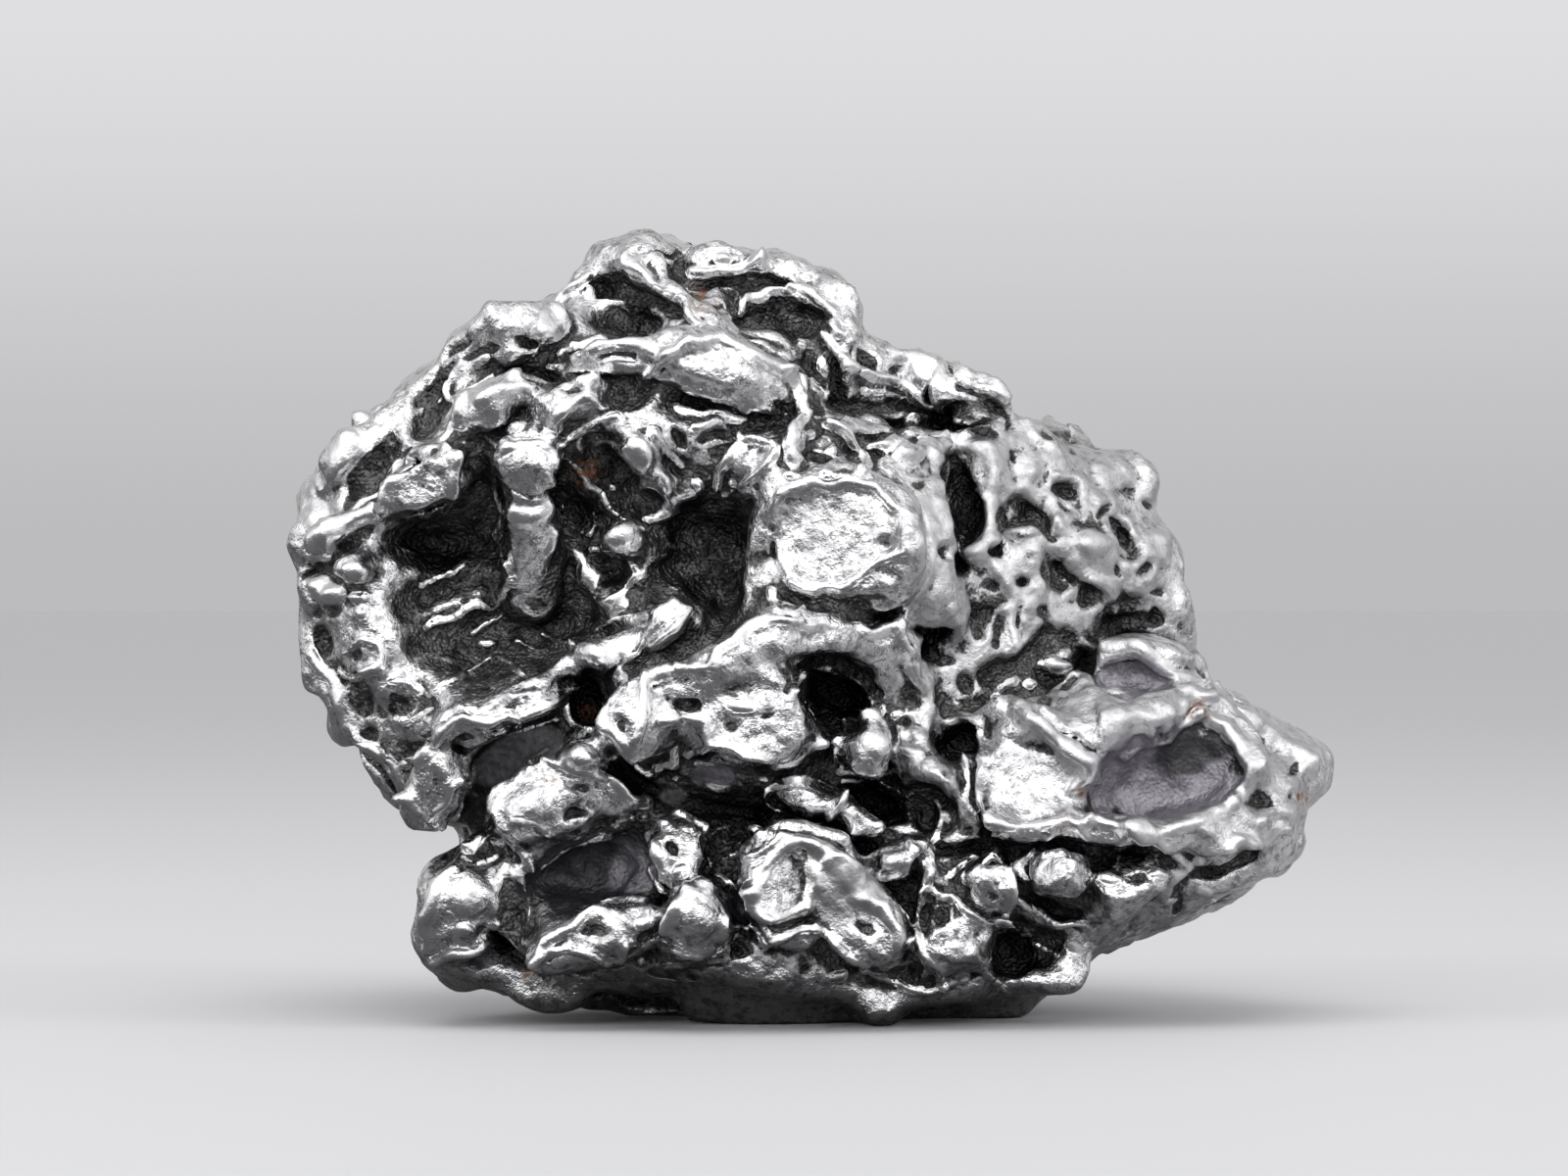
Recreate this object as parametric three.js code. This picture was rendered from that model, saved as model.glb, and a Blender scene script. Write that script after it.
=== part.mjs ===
// An iron meteorite: one lump of nickel-iron with rounded knobs, thumbprint hollows and deep cracks.
// Millimetres, +Z up, -Y towards the viewer of its best side. It stands at Z = 0 on a small flat spot.
// The lump is a distance field: a few large masses blended together, with knobs and ridges added and
// hollows and cracks taken away. Its skin is found in a grid of small cubes and then thinned.
import * as THREE from "three";
import { SimplifyModifier } from "three/addons/modifiers/SimplifyModifier.js";

// Driving dimensions of the skin.
const CUBE = 0.5; // edge of the cubes
const BOX_LOW = new THREE.Vector3(-24, -16, -1.3); // corners of the box that the cubes fill
const BOX_HIGH = new THREE.Vector3(26.5, 18, 37);
const HALVINGS = 12; // times that a cube's edge is halved to find where the skin crosses it
const TRIANGLES = 9800; // left after thinning
const FLAT_SPOT_SLACK = 0.03;

// How a line is followed to the field.
const SAFE_STEP = 0.7; // share of the distance that is stepped, as the field overstates it a little
const NEAR_ENOUGH = 0.004;
const SAMPLE_STEP = 0.25; // between the samples of a line that misses the field
const SIGHT_NEAR = 40; // sight lines are followed from this far in front of Y = 0
const SIGHT_LENGTH = 80;
const START_RADIUS = 34; // outside every part of the lump
const CENTRE = new THREE.Vector3(-0.5, 1, 15.5);

// Places on the best side are read on the upright plane Y = 0, along lines of sight from this point.
const EYE = new THREE.Vector3(0, -230, 18.9);

// Knobs and hollows are a little boxier than true ellipsoids, and the waves below bend them all, so that
// no two are alike: each row is a wave's length, its height and the direction that it runs in.
const BOXINESS = 2.7; // 2 is a true ellipsoid
const MASS_BOXINESS = 2.1;
const CORNER_REACH = 1.3; // of a boxy ellipsoid's corners, as a share of its largest half size
const WAVES = [
  { length: 9, height: 0.42, run: [0.6, 0.3, 0.74] },
  { length: 6.2, height: 0.34, run: [-0.5, 0.62, 0.6] },
  { length: 3.7, height: 0.24, run: [0.2, -0.72, 0.66] },
  { length: 2.6, height: 0.15, run: [0.84, 0.4, -0.36] },
];

// How softly neighbouring forms run into each other.
const MASS_BLEND = 3;
const BOWL_BLEND = 1.2;
const BACK_BLEND = 0.9;
const KNOB_BLEND = 0.45;
const HOLLOW_BLEND = 0.5;
const FACE_BLEND = 0.5;

// Large masses: centre, half sizes along X, Y and Z, and the lean in degrees as seen from the front.
const MASSES = [
  { name: "core", at: [-5.5, 1, 17.5], half: [13, 10.6, 13.8], lean: 0 },
  { name: "left shoulder", at: [-13.8, 1, 17.8], half: [6.9, 9, 8.6], lean: 8 },
  { name: "upper left", at: [-12.2, 1, 23.6], half: [6.9, 7.5, 5.7], lean: 25 },
  { name: "crown", at: [-3, 2, 27], half: [7.3, 7, 5.8], lean: -8 },
  { name: "right lobe", at: [8.9, 4.5, 18.9], half: [8.6, 8.5, 8], lean: -38 },
  { name: "nose root", at: [10.6, -0.5, 8.6], half: [8.6, 8, 6.9], lean: 10 },
  { name: "nose", at: [16.6, -1, 9.9], half: [6.8, 6.5, 4.2], lean: -8 },
  { name: "sole", at: [-0.4, 0, 4.6], half: [12, 9, 5.6], lean: 0 },
  { name: "heel", at: [-10.6, -3.5, 5.2], half: [3.9, 5.3, 4], lean: 20 },
  { name: "back", at: [0, 6.5, 15], half: [13.6, 8, 11.3], lean: -10 },
];

// The bowl on the best side, which the lumps and ridges stand in.
const BOWLS = [
  { name: "bowl", at: [-11.8, -13.2, 19.6], half: [6.9, 9, 6.2], lean: 0 },
  { name: "bowl right", at: [-4.4, -12.6, 21], half: [4.1, 6.6, 4.8], lean: 0 },
];

// Knobs seen from the front: x and z on the plane Y = 0, half width, half height, half depth, lean,
// and lift, how far the middle stands out of the mass behind it. Where y is given, it is used as it is.
// flat cuts a knob's face off: the share of the half depth that is left, and the face's turn to the right
// and upwards in degrees.
const KNOBS = [
  { name: "top knob", x: -6.6, z: 32.9, half: [1.9, 1.9, 1.75], lean: 0, y: 0.5 },
  { name: "knob collar", x: -8.8, z: 31.4, half: [1.7, 2, 1.4], lean: 40, y: 0.5 },
  { name: "top ridge", x: -1.3, z: 32.6, half: [3.4, 1.8, 1.35], lean: -4, y: 0.5 },
  { name: "top shoulder", x: 1.5, z: 31.5, half: [1.6, 2, 1.5], lean: -45, y: 0 },
  { name: "upper left knob", x: -11.9, z: 29.2, half: [2.6, 2.2, 1.7], lean: 8, y: -2.5 },
  { name: "upper left rim", x: -14.4, z: 27.6, half: [2.2, 2, 1.1], lean: 48, y: 0 },
  { name: "corner knob", x: -18.4, z: 24.9, half: [2.3, 2.4, 1.5], lean: 38, y: -1.5 },
  { name: "corner knob low", x: -20, z: 22.9, half: [1.1, 1.8, 1.7], lean: 0, y: -0.5 },
  { name: "leaf", x: -16.1, z: 23.6, half: [2, 1.4, 1.15], lean: 24, lift: 0.6 },
  { name: "leaf tail", x: -18.9, z: 21.8, half: [1.6, 1, 0.6], lean: 30, lift: 0.3 },
  { name: "brow knob", x: -12.4, z: 27.1, half: [2.2, 1.3, 1.05], lean: 24, lift: 0.2 },
  { name: "brow", x: -9.2, z: 26.8, half: [1.9, 1.2, 0.8], lean: 30, lift: 0.2 },
  { name: "brow bar", x: -7.2, z: 29.2, half: [2.3, 1.2, 0.6], lean: 5, lift: 0.3 },
  { name: "left bead top", x: -20.5, z: 20.6, half: [1.05, 1.4, 0.95], lean: 0, y: -1.5 },
  { name: "left bead", x: -20.3, z: 18.7, half: [1.25, 1.6, 1], lean: 0, y: -1.5 },
  { name: "inner bead", x: -18.9, z: 19.5, half: [0.85, 1.2, 0.6], lean: 0, lift: 0.6 },
  { name: "left rim", x: -20.2, z: 16.4, half: [1.35, 1.8, 2], lean: 5, y: -1 },
  { name: "left rim low", x: -19.3, z: 13.7, half: [1.2, 1.8, 1.9], lean: 20, y: -1 },
  { name: "left cheek", x: -17.4, z: 11.4, half: [1.2, 1.8, 2.2], lean: 30, y: -2.5 },
  { name: "hanging lip", x: -15.5, z: 10.1, half: [1.3, 2.2, 1.8], lean: -20, y: -6 },
  { name: "pillar head", x: -11.3, z: 24.5, half: [1.35, 1.6, 1.2], lean: 0, lift: 0.8 },
  { name: "pillar waist", x: -11.4, z: 22.2, half: [1.05, 1.4, 1.6], lean: -5, lift: 0.6 },
  { name: "pillar foot", x: -11, z: 19.7, half: [0.8, 1.2, 1.9], lean: -8, lift: 0.4 },
  { name: "bowl bead", x: -6.9, z: 20.9, half: [0.95, 1.2, 0.7], lean: -10, lift: 0.5 },
  { name: "tongue", x: -3, z: 28.7, half: [3.2, 1.5, 1.15], lean: -12, lift: 0.5 },
  { name: "button", x: 2.3, z: 20.9, half: [3.6, 3.4, 3.4], lean: 0, lift: -0.2, flat: [0.5, -10, 4] },
  { name: "button skirt", x: 5.6, z: 20.4, half: [2, 2.4, 4.4], lean: 8, lift: -0.6 },
  { name: "cloud", x: 5.2, z: 28.2, half: [2.4, 1.6, 0.95], lean: -15, lift: 0.3 },
  { name: "cloud right", x: 8.1, z: 27.4, half: [1.6, 1.7, 1.2], lean: -20, y: 0.5 },
  { name: "lobe top knob", x: 10.7, z: 24.9, half: [1.9, 1.8, 1.2], lean: -38, y: 1 },
  { name: "lobe rim knob", x: 13.2, z: 22.4, half: [1.5, 1.8, 1.2], lean: -35, y: 2 },
  { name: "lobe side knob", x: 16, z: 20.4, half: [1.2, 1.8, 1.9], lean: 10, y: 2.5 },
  { name: "lobe chin", x: 16.6, z: 17.2, half: [1.4, 1.8, 1.9], lean: 0, y: 2.5 },
  { name: "arch left block", x: -6.1, z: 13, half: [1.5, 1.8, 2], lean: -28, lift: 0.2 },
  { name: "arch middle block", x: -2, z: 13.4, half: [2.6, 1.9, 1.9], lean: 0, lift: 0.3 },
  { name: "corner block", x: 3.7, z: 12.3, half: [1.2, 1.6, 1.15], lean: -15, lift: 0.9 },
  { name: "bowl toe", x: -5, z: 17.3, half: [1.3, 1.2, 0.9], lean: 40, lift: 0.5 },
  { name: "bowl instep", x: -7.4, z: 16.2, half: [1.6, 1, 0.7], lean: 20, lift: 0.3 },
  { name: "wedge top", x: -10.4, z: 9.7, half: [2.8, 2.4, 1.75], lean: 18, lift: -0.2 },
  { name: "wedge crest", x: -8.7, z: 11.2, half: [1.2, 1.6, 0.9], lean: 0, lift: 0.2 },
  { name: "wedge toe", x: -14.3, z: 4.6, half: [1.9, 2.4, 2.3], lean: -10, lift: -0.5 },
  { name: "left sole knob", x: -10.2, z: 1.35, half: [2, 2.2, 1.4], lean: 0, y: -4.5 },
  { name: "left sole rim", x: -13.2, z: 2.3, half: [2.5, 2.4, 1.3], lean: -12, y: -4 },
  { name: "foot knob left", x: -8.4, z: 3.6, half: [2.7, 2, 1.25], lean: 14, lift: 0.3 },
  { name: "foot knob", x: -4.1, z: 4.3, half: [1.9, 2, 1.55], lean: 35, lift: 0.5 },
  { name: "tooth", x: 0.5, z: 5.7, half: [2.1, 2.6, 2.5], lean: -12, lift: 0.7, flat: [0.62, 12, 6] },
  { name: "tooth flank", x: 3.2, z: 4.6, half: [3.4, 2.2, 1.4], lean: -47, lift: 0.3 },
  { name: "small tooth", x: -4.6, z: 7.1, half: [1.1, 1.4, 1.4], lean: -20, lift: 0.4 },
  { name: "sliver", x: 1, z: 9.6, half: [1.6, 1.4, 0.6], lean: -14, lift: 0.6 },
  { name: "sliver low", x: 3.2, z: 8.5, half: [1.6, 1.2, 0.7], lean: -35, lift: 0.3 },
  { name: "rib", x: 4.7, z: 6.6, half: [1.5, 1.2, 0.65], lean: 15, lift: 0.4 },
  { name: "right knuckle", x: 8.9, z: 5.9, half: [1.15, 1.6, 1], lean: 0, lift: 0.4 },
  { name: "right heel", x: 7.4, z: 3.2, half: [1.6, 1.8, 1.7], lean: 10, lift: 0.2 },
  { name: "right sole", x: 6.2, z: 1.5, half: [3, 2.4, 1.2], lean: 0, y: -5.5 },
  { name: "far sole", x: 9, z: 1.5, half: [1.4, 2.4, 1.1], lean: 15, y: -3 },
  { name: "nose underside", x: 12.3, z: 6.1, half: [1.5, 1.6, 1.1], lean: 0, lift: 0.3 },
  { name: "nose underside right", x: 15.2, z: 5.2, half: [1.8, 1.6, 1.1], lean: 20, lift: 0.3 },
  { name: "nose brow", x: 15.6, z: 15.5, half: [2.6, 1.8, 1], lean: -12, y: -2.5 },
  { name: "nose edge", x: 20, z: 13, half: [3, 1.8, 0.9], lean: -28, y: -1.5 },
  { name: "nose tip", x: 22.6, z: 10.6, half: [1.6, 2, 1.7], lean: 0, y: -1 },
  { name: "nose lip", x: 20.8, z: 7.3, half: [2.3, 1.8, 1], lean: 12, y: -2 },
  { name: "nose bead", x: 12, z: 15.4, half: [0.75, 0.9, 0.6], lean: -20, y: -4 },
];

// Ridges seen from the front: points [x, z], thickness at the first and last point, and lift.
const RIDGES = [
  { name: "knob tail", way: [[-5.8, 32.6], [-4.6, 31.6], [-3.2, 30.3]], radius: [0.9, 0.5], lift: 0.4 },
  { name: "tongue edge", way: [[0, 28.3], [0.75, 26.9], [0.4, 25.3]], radius: [0.6, 0.35], lift: 0.2 },
  { name: "crown side", way: [[2.2, 31.5], [2.4, 29.7], [2.8, 28.6]], radius: [0.9, 0.6], lift: 0.2 },
  { name: "bowl shelf", way: [[-16, 17], [-13.4, 18.2], [-12, 19]], radius: [0.4, 0.5], lift: 0.2 },
  { name: "bowl fork", way: [[-6.8, 25.4], [-5.4, 23.6], [-4, 23.4]], radius: [0.6, 0.6], lift: 0.1 },
  { name: "bowl spur", way: [[-6, 20.3], [-6.6, 19.2], [-8.2, 17.8]], radius: [0.6, 0.3], lift: 0.1 },
  {
    name: "ledge",
    way: [[-15.2, 12.6], [-13, 13], [-10.6, 13.8], [-9.3, 14.8]],
    radius: [0.7, 0.6],
    lift: 0.5,
  },
  {
    name: "arch",
    way: [[-5.6, 14.2], [-3, 15.6], [-0.4, 16.7], [2.2, 16.7], [4.2, 16], [5.5, 14.6]],
    radius: [1, 1.1],
    lift: 0.6,
  },
  {
    name: "arch post",
    way: [[5.5, 14.6], [5.9, 12.9], [6.1, 11], [7.4, 9.9]],
    radius: [1.1, 0.9],
    lift: 0.1,
  },
  {
    name: "brow to lobe",
    way: [[3, 25.6], [4.6, 24.6], [6.6, 24.4], [7, 22.6], [8.6, 20.4]],
    radius: [0.8, 0.6],
    lift: 0.1,
  },
  { name: "slot side", way: [[8.3, 25.2], [9.2, 23.4], [9.3, 21.4]], radius: [0.8, 0.5], lift: 0.1 },
  { name: "nose spine", way: [[9.4, 13.4], [11.4, 12.4], [13.4, 11]], radius: [0.9, 0.8], lift: 0.1 },
  {
    name: "nose lower rim",
    way: [[9.4, 8.6], [12, 8.6], [15.4, 8.2], [19, 7.7]],
    radius: [0.7, 0.8],
    lift: 0.3,
  },
  {
    name: "pit rim",
    way: [[13.8, 12.6], [16.6, 13.2], [18.6, 13.4], [20.4, 12], [20.8, 10.6]],
    radius: [0.7, 0.8],
    lift: 0.2,
  },
  { name: "heel rib", way: [[6.4, 6.2], [7.2, 5], [9.4, 3.9]], radius: [0.5, 0.4], lift: 0.4 },
];

// Hollows seen from the front: lift is how far the middle of the hollow stands out of the mass.
const HOLLOWS = [
  { name: "left notch", x: -15.7, z: 7.5, half: [1.9, 5, 0.8], lean: 38, y: -1 },
  { name: "under top knob", x: -7.2, z: 31, half: [2, 1.6, 0.9], lean: -8, lift: 0.2 },
  { name: "crown hollow", x: 0, z: 30.8, half: [2.3, 2.2, 1], lean: -10, lift: 0.4 },
  { name: "upper left hollow", x: -15.6, z: 27.2, half: [2, 1.4, 0.9], lean: 45, lift: 0.4 },
  { name: "corner hollow", x: -18, z: 23.9, half: [1.7, 1.4, 1], lean: 40, lift: 0.6 },
  { name: "deep bowl left", x: -14.8, z: 21.2, half: [2.4, 1.8, 1.5], lean: 0, lift: 0.2 },
  { name: "deep bowl right", x: -3, z: 20.4, half: [1.8, 1.8, 2.6], lean: 0, lift: 0.2 },
  { name: "bowl fork hollow", x: -7.8, z: 23.6, half: [1.6, 1, 1.3], lean: 30, lift: 0.3 },
  { name: "eye hollow", x: -2.9, z: 25.5, half: [1.2, 1.1, 0.6], lean: 15, lift: 0.2 },
  { name: "cheek hollow", x: -17, z: 14.4, half: [1.6, 1, 1.2], lean: -20, lift: 0.3 },
  { name: "arch hole", x: 2.3, z: 13.9, half: [1.6, 3, 1.6], lean: -25, lift: 0.6 },
  { name: "arch mouth", x: 4.1, z: 9.5, half: [1.5, 2.2, 0.8], lean: -25, lift: 0.3 },
  { name: "ledge hole", x: -8.6, z: 13.9, half: [1.2, 2.6, 1], lean: 0, lift: 0.4 },
  { name: "wedge hollow", x: -8.8, z: 6.2, half: [2.9, 2.2, 1.4], lean: 12, lift: 0.3 },
  { name: "wedge hollow left", x: -11.6, z: 5, half: [1.2, 1.6, 2], lean: 0, lift: 0.5 },
  { name: "round pit", x: 7.9, z: 12.1, half: [1.05, 1.6, 1.2], lean: 20, lift: 0.2 },
  { name: "low round pit", x: 6.5, z: 8.8, half: [1, 1.6, 1.2], lean: 0, lift: 0.2 },
  { name: "shoulder slot", x: 8, z: 22.8, half: [0.7, 1.4, 2], lean: 12, lift: 0.2 },
  { name: "shoulder pit", x: 7.5, z: 20.3, half: [0.9, 1, 0.7], lean: 20, lift: 0.1 },
  { name: "shoulder low pit", x: 6, z: 16.6, half: [0.9, 1, 1], lean: 0, lift: 0.1 },
  { name: "lobe pit left", x: 10.9, z: 22, half: [1.3, 1, 0.9], lean: -30, lift: 0.2 },
  { name: "lobe pit top", x: 12.5, z: 23.3, half: [0.8, 1, 0.8], lean: 0, lift: 0.2 },
  { name: "lobe pit", x: 13, z: 18.9, half: [1.7, 1.1, 0.9], lean: -35, lift: 0.2 },
  { name: "lobe pit right", x: 15, z: 21.4, half: [1.3, 1, 0.6], lean: -55, lift: 0.2 },
  { name: "lobe chin hollow", x: 15.6, z: 17.4, half: [1.4, 1.2, 0.9], lean: 0, lift: 0.2 },
  { name: "nose pit", x: 17.3, z: 10.8, half: [3.6, 2.4, 1.9], lean: 14, lift: 0.4 },
  { name: "nose brow hollow", x: 15.4, z: 14.6, half: [1.7, 1, 0.8], lean: -8, lift: 0.2 },
  { name: "nose side hollow", x: 21.4, z: 9.4, half: [1.3, 1, 0.6], lean: 0, lift: 0.2 },
  { name: "nose under hollow", x: 19.2, z: 6, half: [1.5, 1, 0.5], lean: 20, lift: 0.1 },
  { name: "knuckle hollow", x: 12.6, z: 4.6, half: [1.7, 1.4, 0.7], lean: -20, lift: 0.2 },
  { name: "far hollow", x: 10.6, z: 2.9, half: [1.8, 2.4, 1.2], lean: -20, lift: 0.8 },
  { name: "sole arch", x: -6.2, z: 0.2, half: [1.7, 4, 1], lean: 0, y: -5 },
  { name: "sole arch right", x: 12.4, z: -0.2, half: [1.7, 5, 1.2], lean: 12, y: -3 },
  { name: "heel hollow", x: -1.9, z: 4.3, half: [0.7, 1.4, 1], lean: 0, lift: 0.4 },
];

// Cracks seen from the front: points [x, z], half width at the first and last point, and lift.
const CRACKS = [
  {
    name: "left crack",
    way: [[-15.6, 7.6], [-13.8, 9.8], [-12.2, 11.4], [-9.6, 12.6]],
    radius: [1.5, 1],
    lift: -0.4,
  },
  {
    name: "main crack left",
    way: [[-8, 11.8], [-6.8, 10.4], [-4.4, 9.4], [-1.4, 8.8], [1.6, 8.2]],
    radius: [0.7, 0.9],
    lift: -0.2,
  },
  {
    name: "main crack right",
    way: [[3, 7.4], [5.4, 7.8], [8.4, 7.2], [9.9, 6], [10.2, 3.4]],
    radius: [0.6, 1],
    lift: -0.2,
  },
  {
    name: "nose crack",
    way: [[8.9, 12.6], [8.6, 10], [9.2, 8], [12.4, 7.6], [15.6, 7]],
    radius: [0.5, 0.6],
    lift: 0,
  },
  {
    name: "lobe crack",
    way: [[8.8, 14.6], [11, 15.4], [13.4, 16], [17, 16.2]],
    radius: [0.8, 0.6],
    lift: 0,
  },
  { name: "brow crack", way: [[-10, 28.2], [-12.4, 28.5], [-14.6, 26.4]], radius: [0.4, 0.4], lift: 0.1 },
  { name: "tongue crack", way: [[-5.6, 27.8], [-2.6, 27], [0, 26.6]], radius: [0.5, 0.5], lift: 0.1 },
  {
    name: "cloud crack",
    way: [[1.6, 29.4], [2.8, 27.2], [5, 26.6], [8.6, 26.8]],
    radius: [0.6, 0.5],
    lift: 0.1,
  },
  { name: "foot crack", way: [[-6.4, 2.2], [-5.9, 4.2], [-5, 5.6]], radius: [0.4, 0.4], lift: 0.2 },
];

// The sides, back and underside, which have no view of their own, get the same kinds of form at random
// places, spread evenly over the lump.
const BACK_SEED = 41;
const BACK_SPOTS = 210;
const BACK_START_Y = 1.5; // further forward than this, the forms named above do the work
const UNDERSIDE_Z = 3.2; // lower than this, the random forms reach further forward
const UNDERSIDE_START_Y = -6.5;
const FLAT_SPOT_HALF = [7, 5.5]; // the flat spot, where no random form is placed
const BACK_KNOB_HALF = [1.2, 3]; // smallest and largest half size
const BACK_HOLLOW_HALF = [1.1, 2.9];
const BACK_SIZE_POWER = 1.6; // over 1, small forms are more common than large ones
const BACK_HOLLOW_SHARE = 0.45;
const BACK_SCATTER = 0.22; // how far a form strays from its even place, as a share of the radius
const BACK_HOLLOW_LIFT = 0.45; // how far a hollow's middle stands out of the mass
const BACK_KNOB_SINK = 0.5; // share of a knob's least half size that its middle lies under the mass
const BACK_BOXINESS = 2.3;

// An ellipsoid of the field. reach is the radius of a ball round it, corners included.
function ellipsoid(middle, half, leanDegrees, flat) {
  const turn = new THREE.Quaternion().setFromAxisAngle(
    new THREE.Vector3(0, -1, 0),
    THREE.MathUtils.degToRad(leanDegrees),
  );
  const shape = {
    middle,
    half: new THREE.Vector3(...half),
    turnBack: turn.invert(),
    reach: CORNER_REACH * Math.max(...half),
    boxiness: BOXINESS,
  };
  if (flat) {
    const [share, right, up] = flat;
    shape.face = new THREE.Vector3(0, -1, 0)
      .applyAxisAngle(new THREE.Vector3(1, 0, 0), -THREE.MathUtils.degToRad(up))
      .applyAxisAngle(new THREE.Vector3(0, 0, 1), THREE.MathUtils.degToRad(right));
    shape.faceAt = share * half[1];
  }
  return shape;
}

const powerLength = (v, power) =>
  (Math.abs(v.x) ** power + Math.abs(v.y) ** power + Math.abs(v.z) ** power) ** (1 / power);

const FAR = 1000;
const local = new THREE.Vector3();
const scaled = new THREE.Vector3();
function ellipsoidDistance(shape, point) {
  local.copy(point).sub(shape.middle);
  const beyondFace = shape.face ? local.dot(shape.face) - shape.faceAt : -FAR;
  local.applyQuaternion(shape.turnBack);
  scaled.copy(local).divide(shape.half);
  const share = powerLength(scaled, shape.boxiness);
  scaled.divide(shape.half);
  const slope = scaled.length();
  const round = slope === 0 ? -Math.min(...shape.half) : (share * (share - 1)) / slope;
  return -smoothMin(-round, -beyondFace, FACE_BLEND);
}

function capsule(from, to, radiusFrom, radiusTo) {
  const along = to.clone().sub(from);
  const middle = from.clone().addScaledVector(along, 0.5);
  const reach = along.length() / 2 + Math.max(radiusFrom, radiusTo);
  return { from, along, lengthSquared: along.lengthSq(), radiusFrom, radiusTo, middle, reach };
}

function capsuleDistance(shape, point) {
  local.copy(point).sub(shape.from);
  const share = THREE.MathUtils.clamp(local.dot(shape.along) / shape.lengthSquared, 0, 1);
  local.addScaledVector(shape.along, -share);
  return local.length() - THREE.MathUtils.lerp(shape.radiusFrom, shape.radiusTo, share);
}

const shapeDistance = (shape, point) =>
  shape.along ? capsuleDistance(shape, point) : ellipsoidDistance(shape, point);

function smoothMin(a, b, blend) {
  const share = Math.max(blend - Math.abs(a - b), 0) / blend;
  return Math.min(a, b) - (share * share * blend) / 4;
}

// The least distance over a list of shapes; far ones can't matter, so they are passed by.
function addShapes(distance, shapes, point, blend) {
  for (const shape of shapes) {
    if (point.distanceTo(shape.middle) - shape.reach > distance + blend) continue;
    distance = smoothMin(distance, shapeDistance(shape, point), blend);
  }
  return distance;
}

function cutShapes(distance, shapes, point, blend) {
  for (const shape of shapes) {
    if (point.distanceTo(shape.middle) - shape.reach > blend - distance) continue;
    distance = -smoothMin(-distance, shapeDistance(shape, point), blend);
  }
  return distance;
}

const massShapes = MASSES.map((m) => ({
  ...ellipsoid(new THREE.Vector3(...m.at), m.half, m.lean),
  boxiness: MASS_BOXINESS,
}));
const bowlShapes = BOWLS.map((b) => ellipsoid(new THREE.Vector3(...b.at), b.half, b.lean));

function massDistance(point) {
  const masses = addShapes(FAR, massShapes, point, MASS_BLEND);
  return cutShapes(masses, bowlShapes, point, BOWL_BLEND);
}

// Steps from a start point along a unit direction until the field is met; null if it is missed.
function march(start, direction, field, farthest) {
  const point = start.clone();
  let gone = 0;
  while (gone < farthest) {
    const distance = field(point);
    if (distance < NEAR_ENOUGH) return point;
    const step = distance * SAFE_STEP;
    point.addScaledVector(direction, step);
    gone += step;
  }
  return null;
}

// The point of a line that passes nearest to a field.
function nearest(start, direction, field, farthest) {
  const point = start.clone();
  const best = { distance: Infinity, point: null };
  for (let gone = 0; gone < farthest; gone += SAMPLE_STEP) {
    const distance = field(point);
    if (distance < best.distance) Object.assign(best, { distance, point: point.clone() });
    point.addScaledVector(direction, SAMPLE_STEP);
  }
  return best.point;
}

// The point seen at (x, z) of the plane Y = 0: at a given depth y, or on the masses and lifted off them.
function seen(x, z, y, lift) {
  const sight = new THREE.Vector3(x, 0, z).sub(EYE).normalize();
  if (y !== undefined) return EYE.clone().addScaledVector(sight, (y - EYE.y) / sight.y);
  const start = EYE.clone().addScaledVector(sight, -EYE.y - SIGHT_NEAR);
  const met =
    march(start, sight, massDistance, SIGHT_LENGTH) ?? nearest(start, sight, massDistance, SIGHT_LENGTH);
  return met.addScaledVector(sight, -lift);
}

const spotShape = (s) => ellipsoid(seen(s.x, s.z, s.y, s.lift), s.half, s.lean, s.flat);

function wayShapes({ way, radius, lift }) {
  const points = way.map(([x, z]) => seen(x, z, undefined, lift));
  const last = points.length - 1;
  return points.slice(1).map((to, i) =>
    capsule(
      points[i],
      to,
      THREE.MathUtils.lerp(radius[0], radius[1], i / last),
      THREE.MathUtils.lerp(radius[0], radius[1], (i + 1) / last),
    ),
  );
}

// A repeatable stream of numbers from 0 to 1.
function numberStream(seed) {
  let state = seed;
  return () => {
    state = (state + 0x6d2b79f5) | 0;
    let t = Math.imul(state ^ (state >>> 15), 1 | state);
    t = (t + Math.imul(t ^ (t >>> 7), 61 | t)) ^ t;
    return ((t ^ (t >>> 14)) >>> 0) / 4294967296;
  };
}

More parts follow.
